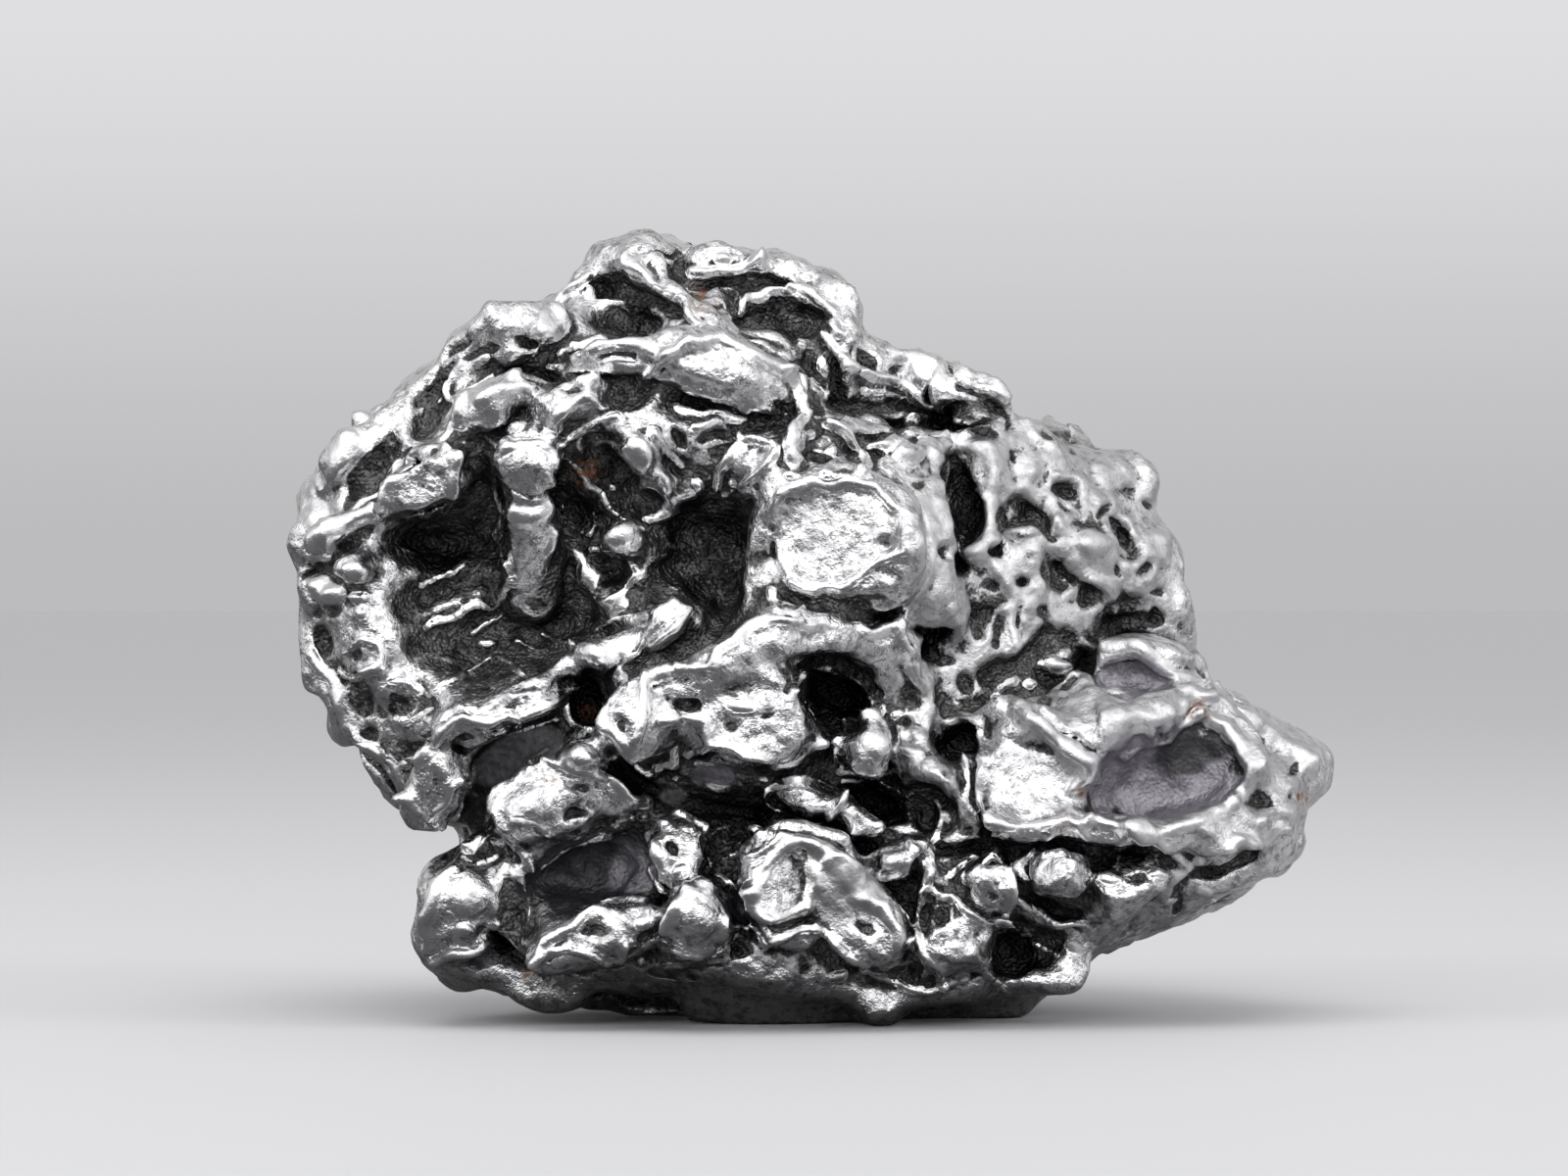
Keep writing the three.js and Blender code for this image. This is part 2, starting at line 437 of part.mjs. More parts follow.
// The random forms, spread evenly by a spiral of directions.
function backShapes() {
  const next = numberStream(BACK_SEED);
  const knobs = [];
  const hollows = [];
  const goldenTurn = Math.PI * (3 - Math.sqrt(5));
  for (let i = 0; i < BACK_SPOTS; i++) {
    const height = 1 - (2 * (i + 0.5)) / BACK_SPOTS;
    const ring = Math.sqrt(1 - height * height);
    const turn = goldenTurn * i;
    const way = new THREE.Vector3(ring * Math.cos(turn), ring * Math.sin(turn), height);
    const stray = new THREE.Vector3(next() - 0.5, next() - 0.5, next() - 0.5);
    way.addScaledVector(stray, BACK_SCATTER).normalize();
    const start = CENTRE.clone().addScaledVector(way, START_RADIUS);
    const met = march(start, way.clone().negate(), massDistance, START_RADIUS);
    const [flatX, flatY] = FLAT_SPOT_HALF;
    const onFlatSpot = met.z < 1 && Math.abs(met.x) < flatX && Math.abs(met.y) < flatY;
    const hollow = next() < BACK_HOLLOW_SHARE;
    const [least, most] = hollow ? BACK_HOLLOW_HALF : BACK_KNOB_HALF;
    const half = [0, 1, 2].map(() => least + (most - least) * next() ** BACK_SIZE_POWER);
    const lean = 180 * next();
    const lift = hollow ? BACK_HOLLOW_LIFT : -BACK_KNOB_SINK * Math.min(...half);
    const startY = met.z < UNDERSIDE_Z ? UNDERSIDE_START_Y : BACK_START_Y;
    if (met.y < startY || onFlatSpot) continue;
    const shape = { ...ellipsoid(met.addScaledVector(way, lift), half, lean), boxiness: BACK_BOXINESS };
    (hollow ? hollows : knobs).push(shape);
  }
  return { knobs, hollows };
}

const back = backShapes();
const knobShapes = [...KNOBS.map(spotShape), ...RIDGES.flatMap(wayShapes)];
const hollowShapes = [...HOLLOWS.map(spotShape), ...CRACKS.flatMap(wayShapes)];

const waves = WAVES.map(({ length, height, run }, i) => {
  const along = new THREE.Vector3(...run).normalize().multiplyScalar((2 * Math.PI) / length);
  const across = new THREE.Vector3(run[1], run[2], -run[0]).cross(along).normalize().multiplyScalar(height);
  return { along, across, start: i };
});

const bent = new THREE.Vector3();
function meteoriteDistance(point) {
  bent.copy(point);
  for (const { along, across, start } of waves) {
    bent.addScaledVector(across, Math.sin(bent.dot(along) + start));
  }
  let distance = addShapes(massDistance(bent), back.knobs, bent, BACK_BLEND);
  distance = cutShapes(distance, back.hollows, bent, BACK_BLEND);
  distance = addShapes(distance, knobShapes, bent, KNOB_BLEND);
  distance = cutShapes(distance, hollowShapes, bent, HOLLOW_BLEND);
  return Math.max(distance, -point.z); // the flat spot it stands on
}

// The skin of the field inside a box of cubes, each parted into six tetrahedra round its long diagonal.
// A tetrahedron with corners on both sides of the skin gives one or two triangles.
function skinOfField() {
  const counts = BOX_HIGH.clone().sub(BOX_LOW).divideScalar(CUBE).ceil();
  const [nx, ny, nz] = [counts.x + 1, counts.y + 1, counts.z + 1];
  const cornerPoint = (n, target) =>
    target
      .set(n % nx, Math.floor(n / nx) % ny, Math.floor(n / (nx * ny)))
      .multiplyScalar(CUBE)
      .add(BOX_LOW);
  const at = new THREE.Vector3();
  const values = Float64Array.from({ length: nx * ny * nz }, (_, n) =>
    meteoriteDistance(cornerPoint(n, at)),
  );

  const vertices = [];
  const onEdge = new Map();
  // The vertex where the skin crosses the edge from corner a to corner b, found by halving.
  function crossing(a, b) {
    const [inner, outer] = values[a] < 0 ? [a, b] : [b, a];
    const key = Math.min(a, b) * values.length + Math.max(a, b);
    if (onEdge.has(key)) return onEdge.get(key);
    const low = cornerPoint(inner, new THREE.Vector3());
    const high = cornerPoint(outer, new THREE.Vector3());
    const middle = new THREE.Vector3();
    for (let i = 0; i < HALVINGS; i++) {
      middle.lerpVectors(low, high, 0.5);
      (meteoriteDistance(middle) < 0 ? low : high).copy(middle);
    }
    vertices.push(middle.lerpVectors(low, high, 0.5).clone());
    onEdge.set(key, vertices.length - 1);
    return vertices.length - 1;
  }

  const steps = [1, nx, nx * ny];
  const orders = [[0, 1, 2], [1, 2, 0], [2, 0, 1], [0, 2, 1], [2, 1, 0], [1, 0, 2]];
  const triangles = [];
  function cutTetrahedron(corners) {
    const inside = corners.filter((c) => values[c] < 0);
    const outside = corners.filter((c) => values[c] >= 0);
    if (!inside.length || !outside.length) return;
    let ring;
    if (inside.length === 2) {
      const [a, b] = inside;
      const [c, d] = outside;
      ring = [crossing(a, c), crossing(a, d), crossing(b, d), crossing(b, c)];
    } else {
      const [lone, others] = inside.length === 1 ? [inside[0], outside] : [outside[0], inside];
      ring = others.map((o) => crossing(lone, o));
    }
    // The ring is turned so that its normal points from the inner corners to the outer ones.
    const [p, q, r] = ring.map((n) => vertices[n]);
    const normal = q.clone().sub(p).cross(r.clone().sub(p));
    const outward = new THREE.Vector3();
    outside.forEach((c) => outward.addScaledVector(cornerPoint(c, at), 1 / outside.length));
    inside.forEach((c) => outward.addScaledVector(cornerPoint(c, at), -1 / inside.length));
    if (normal.dot(outward) < 0) ring.reverse();
    triangles.push([ring[0], ring[1], ring[2]]);
    if (ring.length === 4) triangles.push([ring[0], ring[2], ring[3]]);
  }
  for (let k = 0; k < nz - 1; k++)
    for (let j = 0; j < ny - 1; j++)
      for (let i = 0; i < nx - 1; i++) {
        const first = i + nx * (j + ny * k);
        for (const [a, b] of orders) {
          const second = first + steps[a];
          cutTetrahedron([first, second, second + steps[b], first + steps[0] + steps[1] + steps[2]]);
        }
      }
  return { vertices, triangles };
}

// The triangles of the largest piece of skin: a crumb that floats free of the lump is left out.
function largestPiece(triangles, vertexCount) {
  const leader = Int32Array.from({ length: vertexCount }, (_, i) => i);
  const find = (i) => {
    while (leader[i] !== i) i = leader[i] = leader[leader[i]];
    return i;
  };
  for (const [a, b, c] of triangles) {
    leader[find(a)] = find(b);
    leader[find(b)] = find(c);
  }
  const sizes = new Map();
  triangles.forEach(([a]) => sizes.set(find(a), (sizes.get(find(a)) ?? 0) + 1));
  const largest = [...sizes].reduce((best, entry) => (entry[1] > best[1] ? entry : best))[0];
  return triangles.filter(([a]) => find(a) === largest);
}

// The skin, thinned by closing up its least needed edges until few enough triangles are left.
async function thinnedSkin() {
  const { vertices, triangles: found } = skinOfField();
  const triangles = largestPiece(found, vertices.length);
  const skin = new THREE.BufferGeometry();
  skin.setAttribute("position", new THREE.Float32BufferAttribute(vertices.flatMap((p) => p.toArray()), 3));
  skin.setIndex(triangles.flat());
  const thinned = await new SimplifyModifier().modify(skin, Math.floor((triangles.length - TRIANGLES) / 2));
  // Thinning shifts a few corners of the flat spot by a hair, so they are set back on it.
  const places = thinned.getAttribute("position");
  for (let i = 0; i < places.count; i++) if (places.getZ(i) < FLAT_SPOT_SLACK) places.setZ(i, 0);
  return thinned;
}

const polishedIron = new THREE.MeshStandardMaterial({ color: 0xb9bbbd, metalness: 1, roughness: 0.28 });

const meteorite = new THREE.Mesh(await thinnedSkin(), polishedIron);
meteorite.name = "iron_meteorite";

const part = new THREE.Group();
part.add(meteorite);

export default part;
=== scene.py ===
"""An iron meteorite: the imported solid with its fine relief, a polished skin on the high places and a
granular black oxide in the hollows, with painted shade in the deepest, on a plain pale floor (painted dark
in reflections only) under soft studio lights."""

import math

import bpy
import numpy as np
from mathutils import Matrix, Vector
from mathutils.bvhtree import BVHTree
from mathutils.kdtree import KDTree


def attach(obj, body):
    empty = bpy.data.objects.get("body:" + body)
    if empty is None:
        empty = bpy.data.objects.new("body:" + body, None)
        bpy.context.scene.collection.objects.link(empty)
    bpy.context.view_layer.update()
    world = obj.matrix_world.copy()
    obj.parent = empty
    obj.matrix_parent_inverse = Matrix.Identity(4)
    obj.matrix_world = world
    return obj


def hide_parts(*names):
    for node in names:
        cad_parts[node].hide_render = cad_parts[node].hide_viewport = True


bl_info = {
    "name": "Iron Meteorite",
    "version": (1, 0, 0),
    "blender": (4, 5, 0),
    "location": "3D View > Sidebar > Meteorite",
    "description": "Builds an iron meteorite with polished knobs and dark hollows",
    "category": "Add Mesh",
}

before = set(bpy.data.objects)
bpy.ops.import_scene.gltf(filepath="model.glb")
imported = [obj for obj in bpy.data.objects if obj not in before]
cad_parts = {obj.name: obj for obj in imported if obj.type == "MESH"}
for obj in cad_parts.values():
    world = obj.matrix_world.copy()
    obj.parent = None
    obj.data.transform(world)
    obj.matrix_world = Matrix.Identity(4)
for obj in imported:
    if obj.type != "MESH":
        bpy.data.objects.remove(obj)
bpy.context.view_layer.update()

MM = 0.001
NODE = "iron_meteorite"
PIECE = "meteorite_skin"

# Places on the best side are read in millimetres on the upright plane Y = 0, along lines of sight from
# this point.
EYE = np.array((0.0, -230.0, 18.87))
PICTURE_WIDTH = 69.57  # millimetres of the plane Y = 0 that the picture shows
ON_BEST_SIDE = 0.3  # seen share over which a point counts as the best side's

# The fine relief, in millimetres.
WANDER_SIZE, WANDER_REACH = 0.9, 0.2  # how strokes and ovals wander: lumps of the noise, and how far
STROKE_FOOT = 1.25  # where a stroke ends, in half widths
BEND_SIZE = 2.3  # lumps of the noise that bends the dimples
WIDE_DIMPLE, WIDE_DEPTH = 2.4, 0.3
SMALL_DIMPLE, SMALL_DEPTH = 1.05, 0.09
GRAIN_SIZE, GRAIN_HEIGHT = 0.6, 0.06
REST_FADE = 2.2  # height over the flat spot from which the relief is whole
SHARPENING = 0.4  # share by which relief finer than its surroundings is raised again

# Raised strokes of the best side: half width, rise, and the points x, z that they pass through.
RIDGES = [
    # Large forms: folded faces in the bowl, left corner.
    (0.8, 0.5, [(-9.3, 20.4), (-8.3, 19.3), (-7.3, 18.0)]),
    (0.7, 0.4, [(-7.8, 15.9), (-6.4, 16.5), (-5.0, 17.2)]),
    (0.8, 0.4, [(-6.3, 24.8), (-5.4, 23.6)]),
    (1.0, 0.5, [(-19.3, 25.1), (-20.1, 23.5), (-20.5, 21.6)]),
    # Top knob and crown.
    (0.3, 0.3, [(-6.6, 33.1), (-5.8, 32.5), (-5.1, 31.8), (-4.4, 31.2), (-3.6, 30.5)]),
    (0.25, 0.25, [(-10.4, 31.2), (-9.6, 32.0), (-8.6, 32.7)]),
    (0.35, 0.35, [(-4.2, 32.9), (-3.0, 32.85), (-1.9, 32.8), (-1.2, 33.1)]),
    (0.25, 0.3, [(-2.1, 30.9), (-1.4, 31.7), (-0.7, 32.1), (0.3, 32.0)]),
    (0.28, 0.3, [(0.4, 32.2), (1.3, 31.9), (1.9, 31.4), (2.4, 30.7), (2.5, 30.1)]),
    (0.2, 0.25, [(2.1, 29.9), (2.4, 29.1), (2.6, 28.6)]),
    (0.2, 0.25, [(0.9, 28.0), (1.4, 27.6), (1.9, 27.1)]),
    # Upper left knobs.
    (0.25, 0.25, [(-15.0, 28.9), (-14.2, 29.4), (-13.4, 29.8), (-12.6, 30.0)]),
    (0.18, 0.2, [(-15.0, 27.9), (-14.9, 27.1)]),
    (0.22, 0.22, [(-14.4, 27.2), (-13.7, 27.8), (-13.0, 28.1)]),
    (0.35, 0.3, [(-14.6, 26.0), (-14.0, 27.1), (-12.9, 27.7), (-11.7, 27.9), (-10.9, 27.4)]),
    (0.3, 0.25, [(-15.3, 25.3), (-14.5, 25.9), (-13.9, 25.9)]),
    (0.35, 0.32, [(-10.5, 25.6), (-10.0, 26.6), (-9.3, 27.2), (-8.5, 27.3)]),
    (0.3, 0.32, [(-9.9, 25.3), (-8.9, 26.1), (-8.2, 26.4), (-7.4, 26.4)]),
    (0.35, 0.38, [(-9.2, 29.4), (-8.0, 29.6), (-6.7, 29.6), (-5.2, 29.4)]),
    (0.42, 0.32, [(-10.2, 28.4), (-9.0, 28.4), (-7.8, 28.6), (-6.3, 28.9)]),
    (0.13, 0.2, [(-8.9, 27.5), (-8.2, 27.0), (-7.8, 27.0)]),
    # Corner, leaf and its tail.
    (0.33, 0.4, [(-17.6, 22.5), (-17.6, 23.3), (-17.0, 24.2), (-16.0, 24.9), (-15.0, 24.9), (-14.5, 24.3)]),
    (0.25, 0.35, [(-14.5, 24.3), (-14.6, 23.4), (-15.0, 22.6), (-16.2, 22.3), (-17.5, 22.4)]),
    (0.45, 0.4, [(-20.0, 21.3), (-19.0, 21.9), (-18.1, 22.3), (-17.8, 22.7)]),
    # Pillar.
    (0.3, 0.15, [(-12.6, 24.6), (-11.9, 25.2), (-11.0, 25.3), (-10.3, 24.9), (-10.2, 24.3)]),
    (0.6, 0.3, [(-11.9, 22.3), (-11.3, 22.1), (-10.8, 22.4)]),
    (0.2, 0.25, [(-12.9, 24.2), (-12.9, 23.2), (-12.6, 22.3), (-12.6, 21.2), (-12.1, 20.3), (-11.9, 19.5)]),
    (0.2, 0.25, [(-10.7, 23.9), (-10.1, 23.1), (-9.8, 22.8), (-10.1, 22.0), (-10.4, 21.0), (-10.6, 19.6)]),
    # Inside the bowl.
    (0.15, 0.25, [(-9.7, 24.7), (-9.0, 24.2), (-8.7, 23.5), (-8.0, 23.1), (-7.5, 22.3), (-7.0, 21.7)]),
    (0.35, 0.35, [(-6.5, 25.1), (-6.0, 24.4), (-5.3, 23.7), (-5.0, 22.9), (-5.5, 22.1), (-6.0, 21.9)]),
    (0.15, 0.2, [(-5.5, 25.3), (-5.0, 24.8), (-4.4, 24.3)]),
    (0.25, 0.25, [(-4.1, 23.0), (-4.8, 22.7), (-5.2, 22.2)]),
    (0.17, 0.2, [(-9.0, 21.4), (-8.5, 21.3), (-8.3, 21.8), (-8.3, 22.3)]),
    (0.25, 0.3, [(-8.3, 20.6), (-7.5, 20.6), (-6.9, 20.9)]),
    (0.17, 0.25, [(-6.7, 20.1), (-6.4, 19.4), (-7.0, 18.8), (-7.8, 18.2)]),
    (0.2, 0.25, [(-16.0, 19.0), (-15.3, 19.4), (-14.8, 19.6), (-14.2, 20.0)]),
    (0.18, 0.32, [(-16.0, 17.0), (-15.2, 17.5), (-14.2, 17.9), (-13.1, 18.2), (-12.4, 18.8), (-11.6, 19.1)]),
    (0.18, 0.27, [(-14.0, 16.9), (-13.2, 17.4), (-12.6, 17.8)]),
    (0.18, 0.25, [(-11.7, 16.5), (-11.1, 16.1), (-10.7, 16.0)]),
    (0.18, 0.25, [(-10.6, 16.7), (-10.1, 16.3), (-9.4, 16.1)]),
    (0.12, 0.18, [(-13.9, 15.1), (-13.2, 15.4), (-12.8, 15.7)]),
    (0.12, 0.18, [(-12.5, 15.6), (-11.7, 15.1)]),
    (0.3, 0.3, [(-8.2, 17.0), (-7.0, 17.3), (-6.0, 17.4), (-5.0, 18.0)]),
    (0.3, 0.32, [(-7.2, 14.8), (-6.8, 15.8), (-5.8, 16.3), (-4.9, 17.0), (-4.4, 17.8), (-4.8, 18.1)]),
    # Left rim and cheek.
    (0.35, 0.25, [(-20.9, 15.9), (-20.0, 14.7), (-19.5, 13.2), (-18.9, 12.1), (-17.8, 11.4)]),
    (0.16, 0.22, [(-19.4, 16.0), (-18.6, 16.6), (-18.0, 16.3), (-17.8, 15.6), (-18.3, 15.2), (-19.0, 15.4)]),
    (0.2, 0.22, [(-19.6, 15.2), (-18.9, 14.9), (-18.2, 15.1), (-17.7, 15.3)]),
    (0.2, 0.2, [(-17.4, 14.7), (-16.7, 14.8), (-16.1, 14.4)]),
    (0.2, 0.25, [(-15.4, 14.3), (-14.8, 14.6), (-14.2, 14.9)]),
    (0.13, 0.2, [(-16.9, 12.9), (-16.2, 13.2), (-15.7, 13.5)]),
    (0.25, 0.25, [(-17.3, 11.2), (-17.0, 10.3), (-16.6, 9.5)]),
    (0.18, 0.3, [(-16.6, 9.6), (-16.0, 8.7), (-15.4, 8.4), (-14.8, 8.7), (-14.3, 9.3), (-14.0, 10.1), (-13.9, 10.9)]),
    (0.2, 0.25, [(-15.6, 8.9), (-15.0, 9.4), (-14.8, 10.0), (-14.4, 10.2)]),
    # Ledge.
    (0.27, 0.45, [(-16.2, 11.2), (-15.4, 11.8), (-15.1, 12.6), (-14.5, 13.0), (-13.0, 12.95), (-12.0, 13.1)]),
    (0.25, 0.45, [(-12.0, 13.1), (-11.0, 13.5), (-10.3, 14.0), (-9.5, 14.7)]),
    (0.12, 0.2, [(-14.0, 12.6), (-13.0, 12.5), (-11.5, 12.7), (-10.0, 13.1)]),
    (0.14, 0.2, [(-14.4, 13.6), (-14.1, 13.1)]),
    # Tongue.
    (0.3, 0.35, [(-6.0, 28.6), (-5.2, 29.2), (-4.3, 29.8), (-3.0, 29.8), (-2.0, 29.4), (-1.0, 29.0), (0.0, 28.5)]),
    (0.28, 0.38, [(0.0, 28.5), (0.5, 27.9), (0.75, 27.2), (0.75, 26.4), (0.4, 25.7), (0.3, 25.1), (0.6, 24.4)]),
    (0.3, 0.32, [(-5.9, 28.5), (-5.0, 28.1), (-4.0, 27.7), (-3.0, 27.4), (-2.0, 27.2), (-1.0, 27.0), (-0.4, 26.7)]),
    (0.2, 0.25, [(-4.8, 26.9), (-3.6, 26.6), (-2.6, 26.8), (-1.7, 27.0)]),
    (0.2, 0.28, [(-4.0, 26.0), (-3.0, 26.1), (-2.0, 25.6), (-1.2, 25.3), (-0.5, 25.2)]),
    (0.27, 0.32, [(-1.8, 25.2), (-2.4, 24.6), (-2.9, 24.1), (-3.0, 23.6)]),
    (0.3, 0.32, [(-0.3, 24.9), (-0.7, 24.4), (-1.2, 23.9), (-1.6, 23.4), (-1.3, 23.0)]),
    (0.15, 0.2, [(-2.9, 23.4), (-2.5, 23.1), (-2.0, 23.5), (-2.3, 23.7)]),
    # Cloud.
    (0.3, 0.35, [(2.6, 29.2), (3.0, 28.6), (3.9, 28.2), (5.0, 27.9), (5.8, 27.4), (6.4, 27.1)]),
    (0.4, 0.35, [(4.8, 29.0), (5.8, 29.0), (6.6, 28.6), (7.1, 27.8), (7.1, 26.9)]),
    (0.12, 0.2, [(3.4, 27.6), (4.4, 27.5), (5.4, 27.2), (6.0, 26.9)]),
    (0.16, 0.2, [(2.6, 26.3), (3.6, 26.3)]),
    (0.35, 0.35, [(7.7, 28.6), (8.5, 28.5), (9.2, 28.1), (9.8, 27.5)]),
    (0.15, 0.2, [(8.6, 27.7), (9.2, 27.5), (9.7, 27.3)]),
    # Brow above the button, and the slot beside it.
    (0.35, 0.38, [(2.0, 26.1), (2.8, 25.7), (3.1, 25.0), (3.5, 24.3)]),
    (0.3, 0.35, [(4.0, 25.1), (5.2, 25.4), (5.7, 26.0)]),
    (0.35, 0.38, [(5.2, 25.0), (6.6, 25.0), (6.9, 24.2), (6.9, 23.3), (7.1, 22.3), (7.4, 21.4), (8.2, 20.4)]),
    (0.13, 0.22, [(5.9, 26.0), (6.1, 25.4), (7.0, 25.1), (7.2, 25.6), (6.8, 26.0)]),
    (0.3, 0.32, [(7.3, 25.2), (8.2, 25.4), (9.0, 25.1), (9.4, 24.0), (9.2, 22.7), (9.1, 21.6), (9.0, 21.0)]),
    (0.12, 0.2, [(7.8, 23.6), (8.5, 23.3), (8.9, 22.8)]),
    # Button rim and skirt.
    (0.3, 0.22, [(-0.1, 23.0), (1.2, 23.6), (2.4, 23.4), (4.0, 23.4), (4.8, 22.5)]),
    (0.25, 0.18, [(5.4, 21.4), (5.5, 20.6), (4.4, 20.1), (3.6, 19.4), (2.6, 18.8), (1.4, 18.7), (0.4, 19.1)]),
    (0.25, 0.22, [(0.4, 19.1), (-0.1, 20.0), (-0.1, 21.2), (-0.5, 22.2), (-0.1, 23.0)]),
    (0.25, 0.25, [(-0.5, 18.7), (-0.4, 17.9)]),
    (0.12, 0.18, [(0.8, 18.0), (0.7, 17.4)]),
    (0.5, 0.3, [(6.3, 22.6), (6.3, 20.4), (5.8, 18.6), (5.1, 17.2)]),
    (0.4, 0.3, [(8.3, 20.7), (9.2, 20.0), (9.9, 19.0), (10.4, 18.2), (10.6, 17.3)]),
    # Arch and its left block.
    (0.32, 0.35, [(-4.5, 15.1), (-3.3, 15.4), (-2.5, 16.2), (-1.6, 17.0), (-0.6, 17.4), (0.6, 17.3), (1.7, 17.3)]),
    (0.38, 0.38, [(3.6, 17.0), (4.8, 17.0), (5.2, 16.3), (5.9, 15.2), (6.3, 14.3), (6.6, 13.0), (6.6, 12.2)]),
    (0.1, 0.18, [(0.4, 14.2), (0.8, 14.9), (1.2, 15.4), (2.0, 15.4), (2.9, 14.9), (3.6, 14.2), (4.1, 13.7)]),
    (0.3, 0.3, [(-7.9, 12.6), (-7.6, 13.6), (-7.0, 14.3), (-6.0, 14.8), (-5.0, 15.0)]),
    (0.27, 0.32, [(-7.6, 12.6), (-6.7, 11.7), (-6.6, 11.0), (-6.2, 10.7), (-5.6, 10.8), (-5.0, 11.4), (-4.8, 11.9)]),
    (0.25, 0.35, [(-6.0, 14.6), (-6.2, 13.4), (-6.5, 12.2)]),
    (0.3, 0.3, [(-5.4, 13.1), (-4.2, 13.05), (-3.4, 13.0), (-3.4, 12.3)]),
    (0.27, 0.33, [(-4.3, 11.6), (-3.3, 11.95), (-2.2, 11.9), (-1.2, 11.3), (-0.2, 11.0), (0.6, 11.3), (1.4, 12.0)]),
    (0.12, 0.17, [(-4.0, 11.15), (-2.6, 11.1), (-1.6, 10.85), (-0.8, 10.45)]),
    # Corner block and post.
    (0.25, 0.32, [(2.7, 12.7), (3.1, 13.0), (4.0, 13.0), (4.5, 13.6)]),
    (0.22, 0.32, [(2.7, 12.6), (2.7, 11.6), (2.4, 10.8), (3.2, 11.0), (4.4, 10.95), (5.0, 10.9)]),
    (0.12, 0.2, [(2.6, 10.4), (4.0, 10.6), (5.0, 10.1), (5.4, 9.7)]),
    (0.2, 0.22, [(5.0, 13.4), (5.3, 12.4), (5.4, 11.6), (6.0, 11.4)]),
    (0.2, 0.25, [(6.9, 13.0), (7.8, 13.2), (8.7, 12.8), (9.0, 12.0), (8.8, 11.2), (8.0, 11.0)]),
    (0.35, 0.3, [(8.2, 11.4), (8.3, 10.3), (8.4, 9.4), (8.8, 8.3)]),
    (0.17, 0.25, [(6.9, 9.5), (7.15, 8.7), (6.8, 7.9), (6.4, 7.5)]),
    # Lobe on the upper right.
    (0.25, 0.28, [(9.2, 21.1), (10.0, 21.2), (10.8, 21.1), (11.4, 21.1)]),
    (0.22, 0.25, [(9.7, 22.6), (10.3, 23.3), (10.9, 23.1), (11.5, 22.4), (12.0, 21.9)]),
    (0.35, 0.35, [(11.0, 20.6), (11.3, 19.6), (11.3, 18.9), (11.0, 18.1)]),
    (0.35, 0.4, [(12.9, 20.0), (13.5, 19.5), (14.1, 18.9), (14.5, 18.3)]),
    (0.22, 0.32, [(12.2, 23.9), (12.9, 23.9), (13.2, 23.3), (13.4, 22.6)]),
    (0.22, 0.25, [(11.9, 22.5), (12.6, 22.1), (13.3, 22.2)]),
    (0.25, 0.3, [(15.2, 21.9), (15.5, 21.2)]),
    (0.2, 0.22, [(15.4, 20.2), (15.5, 19.2)]),
    (0.25, 0.25, [(9.9, 17.9), (10.0, 17.0), (10.3, 16.2)]),
    (0.2, 0.2, [(10.0, 26.8), (10.9, 26.1), (11.2, 25.3)]),
    # Nose.
    (0.38, 0.35, [(14.0, 16.5), (15.0, 16.5), (15.8, 16.1), (16.3, 15.6), (17.0, 15.2), (18.0, 14.8), (19.0, 14.2)]),
    (0.35, 0.3, [(19.0, 14.2), (20.0, 13.6), (21.3, 12.7), (22.6, 12.0), (23.4, 11.3)]),
    (0.35, 0.3, [(14.2, 13.5), (15.0, 13.1), (16.5, 13.1), (17.5, 13.5), (18.1, 14.0)]),
    (0.38, 0.38, [(10.4, 13.5), (11.5, 12.7), (12.6, 11.7), (13.5, 11.2), (13.5, 10.4), (12.9, 9.9)]),
    (0.27, 0.25, [(9.0, 11.2), (8.75, 10.2), (8.8, 9.2), (9.2, 8.35), (10.3, 8.25), (11.6, 8.35), (12.8, 8.4)]),
    (0.25, 0.3, [(15.0, 11.4), (15.8, 11.9), (16.9, 12.1), (17.3, 12.8), (18.0, 12.9), (18.6, 13.2)]),
    (0.35, 0.35, [(18.6, 13.2), (19.5, 12.6), (20.2, 11.9), (20.7, 11.0), (20.4, 10.1), (19.9, 9.3)]),
    (0.3, 0.3, [(19.9, 9.3), (18.5, 8.6), (17.0, 8.1), (15.6, 8.1), (14.4, 8.4), (13.4, 8.6)]),
    (0.35, 0.32, [(13.0, 8.2), (13.6, 7.6), (14.6, 7.6), (15.4, 8.0)]),
    (0.33, 0.3, [(15.2, 8.4), (16.2, 7.9), (17.3, 7.2), (17.9, 6.5), (17.0, 6.0), (16.8, 5.2)]),
    (0.27, 0.3, [(18.3, 6.8), (19.4, 7.0), (20.1, 7.6), (21.2, 7.7), (22.2, 8.2)]),
    (0.11, 0.2, [(9.1, 7.9), (10.2, 7.9), (11.4, 8.0), (12.4, 7.6), (13.0, 7.1)]),
    (0.25, 0.25, [(21.2, 8.6), (22.0, 9.0), (22.9, 8.9)]),
    # Wedge on the lower left.
    (0.3, 0.25, [(-10.4, 11.6), (-11.5, 10.7), (-12.6, 9.7), (-13.0, 8.8), (-13.3, 7.9), (-14.0, 7.1)]),
    (0.3, 0.25, [(-14.0, 7.1), (-14.9, 6.2), (-15.6, 5.0), (-15.8, 3.9), (-15.9, 3.0)]),
    (0.32, 0.35, [(-10.4, 10.8), (-9.4, 10.8), (-8.6, 10.6), (-8.0, 10.2), (-7.0, 9.6), (-6.2, 9.3)]),
    (0.2, 0.25, [(-11.9, 8.6), (-11.0, 8.4), (-10.0, 8.1), (-9.3, 8.1), (-8.8, 8.3)]),
    (0.2, 0.25, [(-12.9, 7.5), (-12.3, 7.7), (-11.9, 7.6), (-11.6, 7.1), (-11.3, 6.5)]),
    (0.13, 0.27, [(-11.0, 6.7), (-10.0, 7.4), (-9.2, 7.6), (-8.2, 7.9), (-7.6, 7.9)]),
